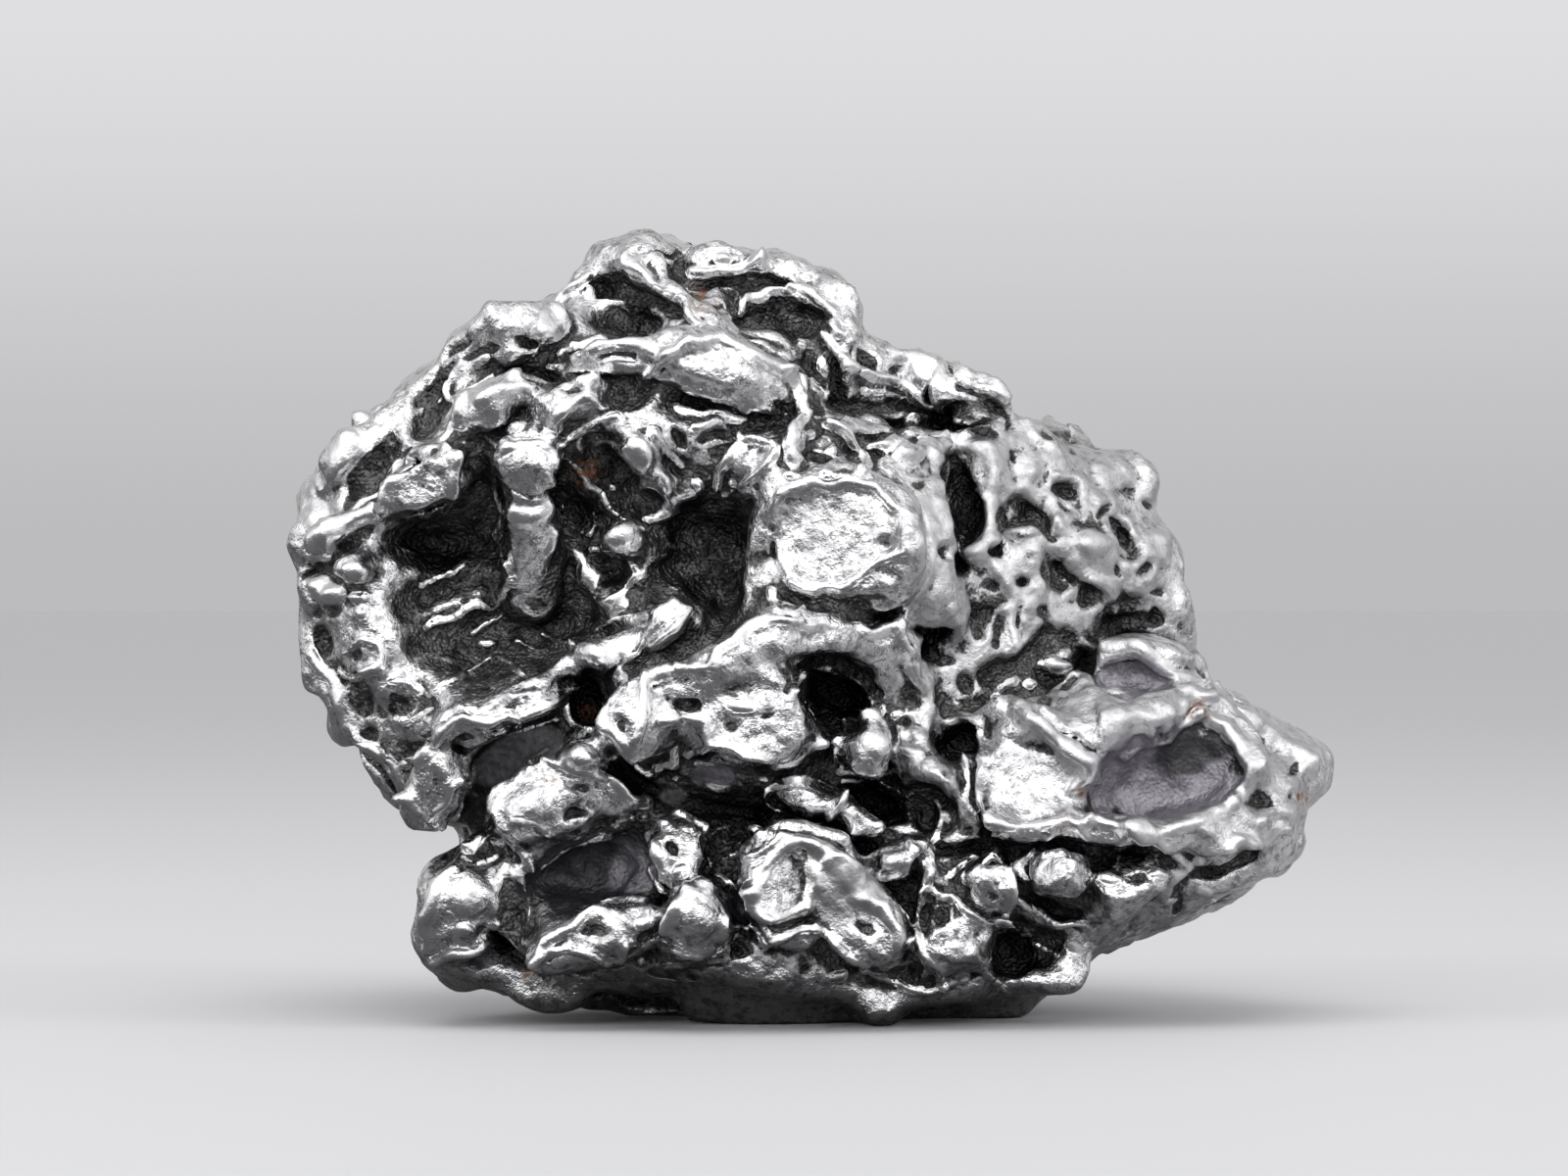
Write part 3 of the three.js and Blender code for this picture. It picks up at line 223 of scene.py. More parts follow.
    (0.12, 0.2, [(-7.6, 8.4), (-7.3, 8.7), (-6.7, 8.7)]),
    (0.13, 0.2, [(-14.6, 6.5), (-13.7, 6.6), (-12.8, 7.0)]),
    (0.22, 0.32, [(-15.7, 2.4), (-14.8, 2.6), (-13.9, 2.9), (-13.1, 3.3), (-12.7, 3.9)]),
    # Feet.
    (0.38, 0.35, [(-11.0, 2.4), (-10.6, 3.0), (-9.8, 3.7), (-8.8, 4.3), (-7.8, 4.7), (-6.6, 4.7), (-5.4, 4.5)]),
    (0.16, 0.3, [(-11.0, 2.4), (-10.2, 2.7), (-9.4, 2.8), (-8.6, 2.6), (-7.6, 2.4), (-7.1, 2.7), (-7.0, 3.1)]),
    (0.2, 0.3, [(-6.7, 3.0), (-6.2, 2.4)]),
    (0.32, 0.38, [(-5.1, 3.8), (-4.5, 4.9), (-3.7, 5.5), (-2.9, 5.8), (-2.2, 5.7)]),
    (0.22, 0.32, [(-2.6, 5.1), (-2.75, 4.0), (-2.65, 3.0), (-2.6, 2.4)]),
    (0.22, 0.25, [(-5.2, 2.95), (-4.2, 2.85), (-3.0, 2.85)]),
    (0.13, 0.2, [(-6.0, 2.1), (-5.0, 2.3), (-4.0, 2.3), (-2.8, 2.4)]),
    (0.13, 0.2, [(-2.4, 3.8), (-1.6, 3.6), (-1.2, 3.7)]),
    (0.25, 0.32, [(-5.9, 8.2), (-5.2, 8.4), (-4.9, 8.8), (-4.5, 8.5), (-3.6, 8.2)]),
    (0.25, 0.32, [(-5.8, 7.9), (-5.5, 7.5), (-5.4, 6.9), (-5.7, 6.2), (-5.4, 5.5), (-4.8, 5.2), (-4.2, 5.4)]),
    (0.16, 0.27, [(-3.7, 8.0), (-3.9, 7.4), (-3.7, 6.8), (-3.4, 6.4)]),
    (0.16, 0.22, [(-2.0, 6.4), (-1.2, 7.0), (-0.4, 7.5), (0.0, 7.8)]),
    # Sliver and rubble in the main crack.
    (0.22, 0.32, [(-0.7, 10.0), (0.2, 10.2), (1.2, 10.1), (2.0, 9.8), (2.5, 9.3)]),
    (0.18, 0.28, [(2.5, 9.3), (1.9, 8.7), (1.2, 8.4), (0.7, 8.9), (-0.2, 9.3), (-0.8, 9.6), (-0.7, 10.0)]),
    (0.2, 0.25, [(3.7, 6.2), (4.6, 5.9), (5.5, 6.4), (6.0, 7.0), (5.6, 7.4)]),
    # Tooth: the rim of its worn face, and the long lip under it.
    (0.35, 0.22, [(-1.3, 5.4), (-1.1, 6.3), (-0.3, 7.1), (0.6, 7.7), (1.3, 7.5), (1.4, 6.6), (1.3, 5.6), (0.8, 4.8)]),
    (0.3, 0.2, [(0.8, 4.8), (0.1, 4.2), (-0.5, 4.1), (-1.1, 4.6), (-1.3, 5.4)]),
    (0.6, 0.4, [(1.4, 7.6), (2.3, 7.0), (3.0, 6.3), (3.6, 5.5), (4.2, 4.8), (5.0, 4.1), (5.4, 3.4)]),
    (0.25, 0.3, [(-1.7, 5.8), (-1.5, 4.9), (-1.2, 4.0), (-0.9, 3.3)]),
    (0.22, 0.32, [(-0.8, 3.2), (0.0, 3.4), (0.8, 3.7), (1.6, 3.8), (2.3, 3.3), (3.0, 2.7), (3.7, 2.1)]),
    (0.25, 0.32, [(3.7, 2.1), (4.6, 1.6), (5.5, 1.2), (6.4, 1.0), (7.2, 1.2), (8.0, 1.5)]),
    (0.22, 0.27, [(3.4, 5.1), (4.2, 4.5), (4.8, 3.7), (4.8, 2.9)]),
    (0.18, 0.22, [(5.2, 4.4), (5.6, 3.5), (5.3, 2.6)]),
    # Right heel and knuckle.
    (0.25, 0.35, [(6.3, 6.4), (6.2, 5.6), (6.0, 4.6), (5.9, 3.6), (6.3, 2.8), (6.9, 2.1), (7.1, 1.3)]),
    (0.22, 0.32, [(6.3, 5.7), (7.0, 5.1), (8.0, 4.5), (8.8, 4.1), (9.6, 3.9)]),
    (0.27, 0.32, [(8.0, 5.9), (8.5, 6.3), (9.2, 6.8), (9.9, 6.4), (10.1, 5.7), (9.8, 4.8), (9.6, 3.9)]),
    (0.2, 0.25, [(7.3, 6.1), (7.8, 6.4), (8.2, 6.9)]),
    (0.13, 0.22, [(8.6, 1.9), (9.3, 1.3), (10.1, 0.9)]),
    (0.13, 0.22, [(10.2, 3.2), (11.2, 3.1), (12.0, 2.6)]),
    (0.22, 0.25, [(10.5, 5.1), (11.3, 4.6), (12.2, 4.0), (13.4, 3.9)]),
]

# Cut strokes of the best side: half width, depth, and points.
GROOVES = [
    (0.5, 0.6, [(-8.2, 32.2), (-7.0, 32.1), (-5.8, 31.7), (-4.9, 31.1)]),
    (0.2, 0.25, [(-6.4, 33.35), (-5.6, 33.55), (-5.0, 33.6)]),
    (0.17, 0.2, [(-5.9, 33.0), (-5.4, 32.4), (-5.0, 31.9)]),
    (0.27, 0.32, [(-4.0, 32.3), (-2.6, 32.3), (-1.3, 32.7), (0.0, 32.5)]),
    (0.42, 0.42, [(2.1, 28.8), (2.3, 27.8), (2.3, 27.0)]),
    (0.5, 0.4, [(-15.3, 28.4), (-14.5, 29.5), (-13.0, 29.7)]),
    (0.2, 0.17, [(-8.2, 29.2), (-6.8, 29.2)]),
    (0.35, 0.4, [(-11.3, 28.2), (-10.2, 28.2)]),
    (0.17, 0.25, [(-21.4, 19.3), (-20.6, 19.8), (-20.0, 19.8)]),
    (0.17, 0.32, [(-19.5, 11.8), (-18.0, 10.9), (-17.5, 10.1), (-17.1, 9.5)]),
    (0.15, 0.2, [(-6.5, 15.6), (-5.5, 16.8), (-4.9, 17.4)]),
    (0.27, 0.35, [(-4.4, 27.2), (-3.0, 27.0), (-1.6, 26.8), (-0.6, 26.4)]),
    (0.27, 0.2, [(2.2, 27.0), (3.4, 26.9), (5.0, 26.8), (5.8, 26.4)]),
    (0.16, 0.25, [(3.4, 25.6), (4.6, 25.6), (5.5, 25.7)]),
    (0.3, 0.35, [(7.6, 27.9), (8.4, 27.6), (9.1, 27.1), (9.5, 26.8)]),
    (0.27, 0.35, [(7.0, 26.6), (8.0, 26.8), (9.2, 26.9)]),
    (0.38, 0.4, [(0.2, 18.6), (1.2, 18.2), (2.6, 18.1), (4.0, 18.3), (5.0, 18.6)]),
    (0.22, 0.27, [(0.2, 14.3), (0.6, 15.2), (1.1, 15.7), (1.8, 15.85), (2.8, 15.6), (3.6, 14.9), (4.3, 14.2)]),
    (0.22, 0.3, [(-4.0, 11.4), (-2.8, 11.5), (-1.9, 11.2), (-1.0, 10.8), (0.0, 10.6)]),
    (0.1, 0.15, [(7.5, 18.3), (7.0, 17.6), (6.5, 17.2)]),
    (0.1, 0.15, [(6.3, 18.4), (5.8, 17.9)]),
    (0.38, 0.42, [(13.1, 22.0), (14.0, 22.0), (14.6, 21.6), (15.1, 21.0), (15.4, 20.5)]),
    (0.2, 0.25, [(11.4, 21.5), (12.0, 21.1)]),
    (0.13, 0.2, [(17.4, 21.0), (17.6, 20.2), (17.7, 19.3), (17.8, 18.6)]),
    (0.3, 0.3, [(8.8, 17.8), (8.6, 16.7)]),
    (0.2, 0.25, [(9.4, 17.1), (9.3, 16.2)]),
    (0.16, 0.22, [(10.5, 18.0), (10.3, 17.1)]),
    (0.22, 0.25, [(11.5, 18.0), (11.8, 17.0)]),
    (0.5, 0.55, [(9.0, 14.9), (9.6, 15.3), (10.5, 15.4), (11.2, 16.0), (11.7, 16.6), (12.5, 16.6)]),
    (0.27, 0.38, [(11.3, 15.2), (11.7, 14.7), (12.5, 14.6), (13.0, 15.1), (13.3, 15.7)]),
    (0.13, 0.22, [(11.3, 13.5), (12.2, 12.6), (13.0, 12.1), (13.8, 11.6)]),
    (0.13, 0.22, [(14.0, 13.4), (13.8, 12.6), (13.9, 11.5)]),
    (0.2, 0.42, [(8.6, 12.4), (8.45, 10.6), (8.45, 9.3), (8.9, 8.0), (9.4, 7.4), (10.0, 7.1)]),
    (0.27, 0.42, [(9.5, 7.6), (10.2, 7.3), (11.2, 7.5), (12.3, 7.3), (13.0, 6.9), (14.4, 6.9)]),
    (0.32, 0.32, [(18.0, 6.2), (19.2, 6.3), (20.3, 6.7), (21.0, 7.1)]),
    (0.3, 0.35, [(17.7, 5.9), (17.4, 5.2), (17.4, 4.6)]),
    (0.13, 0.15, [(-4.9, 2.57), (-2.9, 2.6)]),
    (0.22, 0.27, [(-0.7, 3.75), (0.2, 3.85), (1.2, 4.25)]),
    (0.1, 0.15, [(-3.0, 6.2), (-2.0, 6.8), (-1.0, 7.5)]),
    (0.1, 0.15, [(-3.3, 6.8), (-2.2, 7.3), (-1.3, 7.7)]),
    (0.4, 0.5, [(-7.6, 11.6), (-6.9, 10.4), (-5.6, 9.9), (-4.4, 9.2), (-2.6, 8.9), (-1.0, 8.9)]),
    (0.4, 0.5, [(-1.0, 8.9), (0.4, 8.3), (2.0, 7.9), (3.2, 7.0), (4.0, 6.6)]),
    (0.35, 0.45, [(4.8, 5.6), (5.8, 5.6), (5.9, 6.4), (6.4, 7.2), (7.8, 7.3), (8.9, 7.4)]),
    (0.35, 0.4, [(10.2, 6.9), (10.4, 5.8), (10.9, 5.2), (12.0, 4.5), (13.0, 4.4)]),
    (0.3, 0.35, [(-6.7, 2.6), (-6.2, 3.3), (-5.5, 4.1), (-5.2, 4.9)]),
]

# Domes (rise over 0) and dishes (rise under 0): x, z, half width, half height, lean in degrees, rise.
OVALS = [
    # Large lumps: top knob, shoulder, leaf, wedge, left foot, left end of the arch, corner block, cloud.
    (-6.5, 33.1, 1.9, 1.5, 0, 0.45), (-11.9, 30.2, 2.6, 1.4, 18, 0.5), (-15.9, 23.6, 1.7, 1.2, 25, 0.2),
    (-12.6, 26.8, 2.0, 1.2, 20, 0.4), (-6.9, 20.8, 0.9, 0.8, 0, 0.4), (-10.4, 10.2, 3.2, 1.6, 38, 0.5),
    (-14.4, 4.8, 1.6, 2.0, 0, 0.35), (-6.2, 12.9, 1.5, 1.7, 0, 0.5), (3.6, 11.8, 1.2, 1.3, 0, 0.5),
    (6.2, 27.9, 1.5, 1.1, -20, 0.4), (-9.2, 15.9, 1.6, 1.0, 20, 0.3), (5.0, 26.4, 1.6, 0.5, 0, 0.5),
    (8.3, 26.5, 1.2, 0.5, 0, 0.5),
    # Upper left.
    (-6.4, 33.5, 1.6, 0.9, 0, 0.3), (-8.45, 32.1, 0.35, 0.35, 0, 0.35), (-12.2, 30.8, 1.9, 0.75, 12, 0.4),
    (-10.3, 30.5, 0.9, 0.8, 0, 0.3), (-9.7, 29.4, 0.3, 0.3, 0, 0.25), (-9.3, 29.3, 0.25, 0.25, 0, 0.2),
    (-11.9, 29.1, 1.1, 0.9, 0, 0.4), (-11.6, 29.8, 0.8, 0.35, 0, -0.3), (-12.9, 26.9, 1.4, 0.9, 25, 0.3),
    (-12.0, 26.9, 0.7, 0.45, 0, -0.25), (-11.6, 26.7, 0.25, 0.2, 0, 0.2), (-12.6, 25.3, 0.75, 0.35, -30, 0.3),
    (-8.0, 25.3, 1.0, 0.6, 0, -0.35), (-9.6, 27.8, 0.8, 0.35, 0, -0.25), (-7.2, 27.6, 1.6, 0.9, 0, -0.35),
    (-18.3, 24.0, 2.3, 0.8, 52, -0.3), (-16.0, 23.5, 1.15, 0.75, 25, -0.3), (-15.6, 23.6, 0.4, 0.4, 0, 0.15),
    (-14.0, 24.7, 0.7, 0.6, 0, -0.25), (-15.7, 27.6, 1.1, 0.6, 45, -0.3), (-13.6, 25.3, 0.5, 0.3, -10, -0.3),
    # Pillar and bowl.
    (-11.3, 24.1, 1.6, 1.4, 0, 0.35), (-11.3, 21.2, 1.4, 2.5, -5, 0.4),
    (-12.2, 22.6, 0.3, 0.4, 0, -0.15),
    (-6.8, 20.9, 0.75, 0.5, 0, 0.3),
    (-7.0, 20.3, 0.7, 0.25, 0, -0.2), (-14.9, 19.4, 0.25, 0.3, 0, 0.25),
    (-9.0, 19.3, 1.0, 0.6, 15, 0.15), (-13.2, 16.5, 0.9, 0.3, 0, 0.15), (-8.0, 15.6, 1.2, 0.6, -20, 0.3),
    (-5.8, 25.6, 0.35, 0.4, 0, 0.3), (-3.8, 23.4, 0.25, 0.35, 0, 0.3), (-3.2, 18.0, 0.28, 0.55, -10, 0.3),
    (-2.5, 19.5, 0.15, 0.3, -40, 0.2), (-4.4, 20.9, 0.25, 0.2, 0, 0.15), (-3.2, 21.3, 0.25, 0.2, 0, 0.15),
    (-2.5, 20.9, 0.2, 0.2, 0, 0.15), (-4.9, 20.6, 0.5, 0.2, -20, 0.15), (-4.9, 19.6, 1.1, 0.6, 0, -0.4),
    (-7.0, 24.0, 0.9, 0.6, 30, -0.25), (-7.5, 23.4, 0.3, 0.25, 0, 0.2), (-9.0, 22.4, 0.8, 0.7, 0, -0.2),
    (-4.6, 25.5, 0.4, 0.7, 35, -0.4), (-6.0, 23.0, 0.6, 0.5, 0, -0.2),
    # Left rim.
    (-20.5, 20.6, 0.7, 0.8, 0, 0.55), (-20.2, 18.8, 0.9, 0.7, -20, 0.6), (-18.9, 19.6, 0.75, 0.45, 0, 0.5),
    (-18.9, 18.4, 0.35, 0.35, 0, 0.35), (-18.8, 17.7, 0.25, 0.4, 0, 0.2), (-20.3, 16.6, 0.6, 0.8, 0, -0.1),
    (-20.2, 17.9, 0.6, 0.4, 0, -0.2), (-18.8, 13.9, 0.7, 0.8, 0, -0.12), (-18.4, 12.3, 0.7, 0.5, 0, -0.1),
    (-18.9, 15.9, 0.4, 0.3, 0, -0.2), (-17.2, 13.7, 1.0, 0.6, 20, -0.2), (-16.5, 11.0, 0.6, 0.35, 0, 0.25),
    (-15.6, 10.2, 0.5, 0.8, 10, -0.2), (-13.9, 11.2, 0.25, 0.25, 0, 0.2), (-13.4, 14.0, 0.8, 0.5, 0, -0.15),
    (-11.4, 14.6, 0.9, 0.5, 10, -0.25), (-14.2, 12.0, 0.6, 0.5, 0, -0.3),
    # Ledge hole.
    (-8.7, 13.7, 0.9, 1.1, 10, -1.2),
    # Crown, tongue and cloud.
    (-2.7, 33.4, 0.5, 0.3, 0, 0.25), (-1.1, 33.2, 0.6, 0.45, 0, 0.35), (-4.7, 32.0, 0.4, 0.3, 0, -0.2),
    (0.2, 30.9, 1.9, 0.9, -15, -0.5), (-2.6, 31.4, 0.8, 0.5, 0, -0.3), (1.9, 30.9, 0.3, 0.2, -30, 0.2),
    (2.2, 30.4, 0.3, 0.2, -30, 0.2), (1.9, 29.9, 0.3, 0.2, -20, 0.2), (1.7, 28.6, 0.35, 0.5, 0, 0.3),
    (0.5, 29.2, 0.35, 0.25, 0, 0.2), (-0.6, 30.0, 1.3, 0.4, -15, -0.3), (-2.7, 28.3, 0.6, 0.2, -15, -0.06),
    (-3.0, 28.6, 2.2, 0.8, -12, 0.25), (0.1, 26.5, 0.25, 0.25, 0, 0.2), (-2.9, 25.7, 1.0, 0.4, 10, -0.5),
    (-2.2, 26.4, 0.8, 0.35, -8, 0.15), (6.0, 28.2, 0.9, 0.7, -20, 0.3), (6.5, 27.5, 0.5, 0.35, 0, -0.3),
    (3.5, 29.1, 0.8, 0.45, -35, -0.4), (5.0, 29.5, 0.4, 0.2, -20, 0.2), (4.6, 26.2, 0.5, 0.35, 0, 0.2),
    (8.4, 28.4, 0.7, 0.4, -20, 0.2), (8.6, 26.4, 0.6, 0.4, 0, 0.25), (9.4, 26.2, 0.35, 0.5, 0, 0.3),
    (7.7, 26.1, 0.6, 0.35, 0, -0.25), (1.2, 27.0, 0.6, 0.6, 0, -0.2), (1.1, 28.9, 0.4, 0.6, -20, -0.25),
    # Brow and button.
    (2.7, 24.2, 0.5, 0.35, 0, -0.3), (1.1, 25.6, 0.3, 0.3, 0, 0.2), (2.0, 24.9, 0.25, 0.2, 0, 0.2),
    (1.9, 24.0, 0.3, 0.15, 0, 0.2), (0.3, 23.8, 0.4, 0.25, 0, 0.2), (1.4, 24.6, 0.8, 0.3, -15, -0.2),
    (5.7, 24.6, 0.5, 0.4, 0, 0.2), (6.1, 23.4, 0.35, 0.25, 0, -0.2), (4.0, 24.8, 0.5, 0.3, 0, -0.15),
    (4.5, 20.8, 0.5, 0.4, 35, -0.25), (-0.4, 21.6, 0.3, 0.3, 0, -0.2), (-0.4, 20.5, 0.2, 0.45, 0, -0.25),
    (4.5, 19.5, 0.7, 0.25, -8, -0.2), (3.2, 17.7, 1.4, 0.4, 0, -0.3), (0.2, 17.7, 0.35, 0.35, 0, -0.2),
    (8.2, 22.9, 0.65, 1.9, 15, -0.5),
    # Right of the button.
    (7.3, 20.5, 0.75, 0.55, -10, -0.5), (5.8, 16.5, 0.75, 0.5, -30, -0.4), (8.0, 14.6, 0.5, 0.55, 0, -0.2),
    (6.6, 13.9, 0.3, 0.3, 0, -0.15), (7.9, 18.9, 0.25, 0.2, 0, -0.15), (8.4, 17.6, 0.3, 0.7, 0, -0.2),
    (9.0, 18.9, 0.5, 0.3, -10, -0.15), (7.1, 15.6, 0.7, 0.4, -20, -0.15), (6.6, 19.0, 0.35, 0.6, 0, -0.1),
    # Arch.
    (2.5, 14.1, 1.4, 1.0, -30, -1.1), (1.0, 13.5, 0.6, 1.0, 0, -0.25), (-4.3, 13.7, 0.75, 0.5, 10, -0.35),
    (-7.1, 12.8, 0.3, 0.5, -20, -0.25), (-5.3, 12.5, 0.7, 0.4, -10, -0.25), (-2.3, 12.7, 0.5, 0.35, 0, -0.08),
    (-1.4, 12.2, 0.4, 0.3, 0, -0.08), (-0.2, 12.0, 0.35, 0.3, 0, -0.08), (-0.7, 13.3, 0.5, 0.3, 0, -0.08),
    (-1.9, 13.7, 0.8, 0.4, 0, 0.1), (-5.3, 11.3, 0.4, 0.35, 0, -0.25), (-5.0, 11.1, 0.2, 0.2, 0, 0.15),
    (1.4, 12.2, 0.3, 0.5, 0, 0.2), (3.3, 12.4, 0.3, 0.55, -15, -0.25), (4.0, 12.0, 0.7, 0.8, 0, 0.2),
    (3.3, 10.2, 1.0, 0.25, -5, -0.35), (5.3, 12.9, 0.4, 0.4, 0, -0.3), (5.9, 12.3, 0.4, 0.4, 0, 0.2),
    (7.9, 12.1, 0.95, 0.95, 0, -0.55), (7.1, 10.6, 0.2, 0.35, 30, -0.2), (6.4, 11.4, 0.22, 0.22, 0, -0.2),
    (4.0, 9.4, 1.2, 0.7, -25, -0.8), (6.2, 8.9, 0.75, 0.9, 0, -0.5), (7.4, 8.7, 0.3, 0.4, 0, 0.2),
    (-3.0, 10.1, 0.7, 0.35, 0, 0.2), (-4.9, 10.4, 0.25, 0.15, 0, 0.15),
    # Lobe.
    (9.65, 23.8, 0.17, 0.22, 0, -0.15), (10.6, 26.7, 0.5, 0.6, -30, -0.25), (11.8, 25.7, 0.6, 0.5, 0, -0.3),
    (12.6, 25.0, 0.5, 0.3, -30, -0.2), (10.8, 24.1, 0.9, 0.85, 0, 0.35), (10.15, 24.6, 0.15, 0.4, 0, -0.15),
    (10.9, 22.3, 1.2, 0.9, -20, -0.5), (10.2, 22.3, 0.5, 0.5, 0, 0.15), (12.2, 21.7, 0.5, 0.4, -30, 0.25),
    (9.4, 20.6, 0.5, 0.5, -30, -0.35), (9.8, 20.6, 0.3, 0.3, 0, 0.2), (10.8, 20.3, 0.2, 0.2, 0, -0.15),
    (10.6, 19.1, 0.45, 0.4, 0, -0.3), (12.4, 19.7, 0.75, 0.35, -40, -0.4), (13.6, 18.6, 0.7, 0.8, 0, -0.4),
    (12.6, 18.7, 0.35, 0.35, 0, 0.2), (12.5, 23.1, 0.55, 0.6, 20, -0.5), (14.6, 23.9, 1.1, 0.8, -30, 0.35),
    (14.3, 22.5, 0.3, 0.45, -40, -0.3), (16.1, 22.6, 0.45, 0.25, -25, -0.2), (13.7, 20.9, 0.9, 0.55, -20, 0.25),
    (16.6, 20.8, 0.7, 1.0, 0, 0.25), (16.1, 19.7, 0.3, 0.6, -25, -0.3), (14.9, 19.6, 0.22, 0.5, 0, -0.25),
    (15.6, 18.8, 0.5, 0.4, 0, 0.2), (16.5, 18.6, 0.45, 0.2, 0, -0.2), (15.0, 17.4, 1.4, 0.6, 0, -0.4),
    (16.5, 17.6, 0.5, 0.5, -40, -0.3), (17.7, 17.0, 0.35, 0.6, 0, -0.2), (9.6, 17.8, 0.35, 0.35, 0, 0.2),
    # Nose.
    (13.4, 16.4, 0.4, 0.3, 0, 0.3), (12.1, 15.3, 0.6, 0.5, -25, 0.45), (11.5, 13.9, 0.45, 0.35, -30, -0.35),
    (10.9, 14.6, 0.4, 0.3, 0, 0.25), (9.4, 13.8, 0.45, 0.5, 0, 0.2), (15.6, 14.7, 1.9, 1.0, -8, -0.3),
    (10.7, 12.0, 1.5, 0.35, -15, -0.12), (14.6, 12.3, 0.8, 0.8, 0, 0.2),
    (16.3, 12.4, 0.4, 0.3, 0, 0.2), (17.0, 10.4, 3.4, 1.9, 8, -0.3),
    (21.1, 9.5, 0.8, 0.5, -15, -0.3), (22.7, 9.6, 0.55, 0.35, 0, -0.22), (22.6, 10.8, 0.35, 0.4, 0, -0.2),
    (23.2, 10.9, 0.4, 0.5, 0, 0.2), (21.6, 8.7, 0.3, 0.2, 0, 0.15), (20.5, 7.8, 0.7, 0.4, 10, 0.3),
    (13.4, 8.4, 0.5, 0.3, -10, 0.3), (18.5, 7.6, 0.8, 0.55, 0, -0.2), (16.7, 7.3, 0.5, 0.25, -20, -0.2),
    (18.6, 5.5, 0.5, 0.3, 20, 0.25), (11.7, 6.3, 1.0, 0.8, 0, 0.15), (13.7, 6.7, 0.9, 0.4, -10, -0.3),
    (12.5, 5.4, 0.5, 0.3, 0, -0.25), (15.8, 5.9, 0.5, 0.35, 0, -0.25), (14.4, 6.0, 0.6, 0.45, 0, 0.25),
    (16.5, 6.1, 0.4, 0.35, 0, 0.2), (8.3, 6.9, 0.3, 0.3, 0, 0.2), (9.4, 5.9, 0.5, 0.4, 0, -0.2),
    # Wedge and feet.
    (-9.0, 11.3, 0.9, 0.45, 0, 0.3), (-11.2, 9.2, 1.3, 0.8, 20, 0.25), (-9.2, 9.9, 0.6, 0.3, -10, -0.25),
    (-9.3, 8.8, 0.6, 0.35, 0, -0.22), (-7.3, 8.3, 0.25, 0.15, 0, -0.15), (-8.8, 6.3, 2.6, 1.4, 5, -0.6),
    (-14.0, 5.3, 1.1, 0.9, 0, 0.3), (-13.3, 3.7, 0.5, 0.4, 0, -0.25), (-14.3, 3.9, 0.6, 0.4, 0, 0.2),
    (-12.1, 4.6, 0.7, 1.8, 0, -0.35), (-8.3, 3.6, 0.8, 0.4, 0, -0.22), (-6.3, 4.0, 0.5, 0.4, 0, 0.2),
    (-3.9, 4.1, 1.0, 0.9, 0, 0.35), (-1.9, 4.9, 0.45, 0.8, 15, -0.55), (-1.9, 2.9, 0.6, 0.5, 0, -0.4),
    (-4.9, 7.4, 0.35, 0.35, 0, -0.3), (-4.6, 6.3, 0.5, 0.6, 0, 0.25), (-2.6, 7.6, 0.8, 0.5, 20, -0.25),
    (-1.2, 8.1, 0.5, 0.4, 0, 0.2), (-0.2, 7.9, 0.17, 0.17, 0, 0.15),
    # Sliver, tooth and heel.
    (0.8, 9.5, 0.9, 0.25, -8, -0.22), (1.2, 8.95, 0.3, 0.14, 0, 0.12), (4.1, 8.3, 0.45, 0.3, 0, 0.25),
    (3.0, 8.0, 0.4, 0.35, 0, 0.2), (5.0, 6.7, 1.0, 0.5, 15, 0.25), (2.2, 6.1, 1.0, 1.1, 0, 0.25),
    (3.6, 3.8, 0.5, 0.4, -40, -0.2), (5.6, 2.4, 0.4, 0.8, 30, -0.3), (7.8, 3.3, 1.1, 0.8, 0, -0.35),
    (6.9, 4.3, 0.4, 0.5, 0, -0.2), (9.0, 5.4, 0.6, 0.6, 0, -0.15), (7.8, 6.5, 0.35, 0.3, 0, 0.2),
    (10.0, 2.6, 1.3, 1.1, 0, -0.5), (10.9, 3.7, 0.6, 0.25, 0, 0.2), (12.9, 2.9, 0.5, 0.4, 0, 0.15),
    (2.3, 1.7, 0.6, 0.35, 20, 0.2), (6.9, 5.4, 0.3, 0.3, 0, -0.15),
]

# Places pressed in: x, z, radius, depth.
PRESSED = [(13.5, 27.2, 2.6, 1.6), (-11.4, 33.0, 2.2, 1.2)]

# Smooth bars standing out: how round they are, then the points of the way as x, z and half width.
BARS = [
    (0.55, [(-11.3, 24.3, 1.8), (-11.4, 23.3, 1.75), (-11.3, 22.2, 1.6),
            (-11.4, 21.0, 1.4), (-11.3, 19.8, 1.2), (-11.2, 18.5, 1.35)]),
    (0.45, [(-16.9, 22.9, 0.8), (-16.0, 23.6, 1.35), (-15.2, 24.3, 1.1)]),
    (0.5, [(5.4, 25.8, 0.6), (7.4, 25.9, 0.7), (9.2, 26.0, 0.6)]),
    (0.4, [(-12.4, 8.3, 0.9), (-10.7, 9.4, 1.2), (-8.8, 9.9, 1.2), (-7.2, 9.6, 0.8)]),
]

# Forms that are rounded over: x, z, half width, half height, lean, share.
EASED = [
    (-15.2, 21.0, 3.0, 2.0, 0, 1.0),
    (18.8, 14.3, 2.2, 1.2, -28, 0.9),
    (-14.4, 4.6, 1.8, 2.2, 0, 0.7),
    (13.0, 20.5, 5.0, 5.0, 0, 0.5),
]

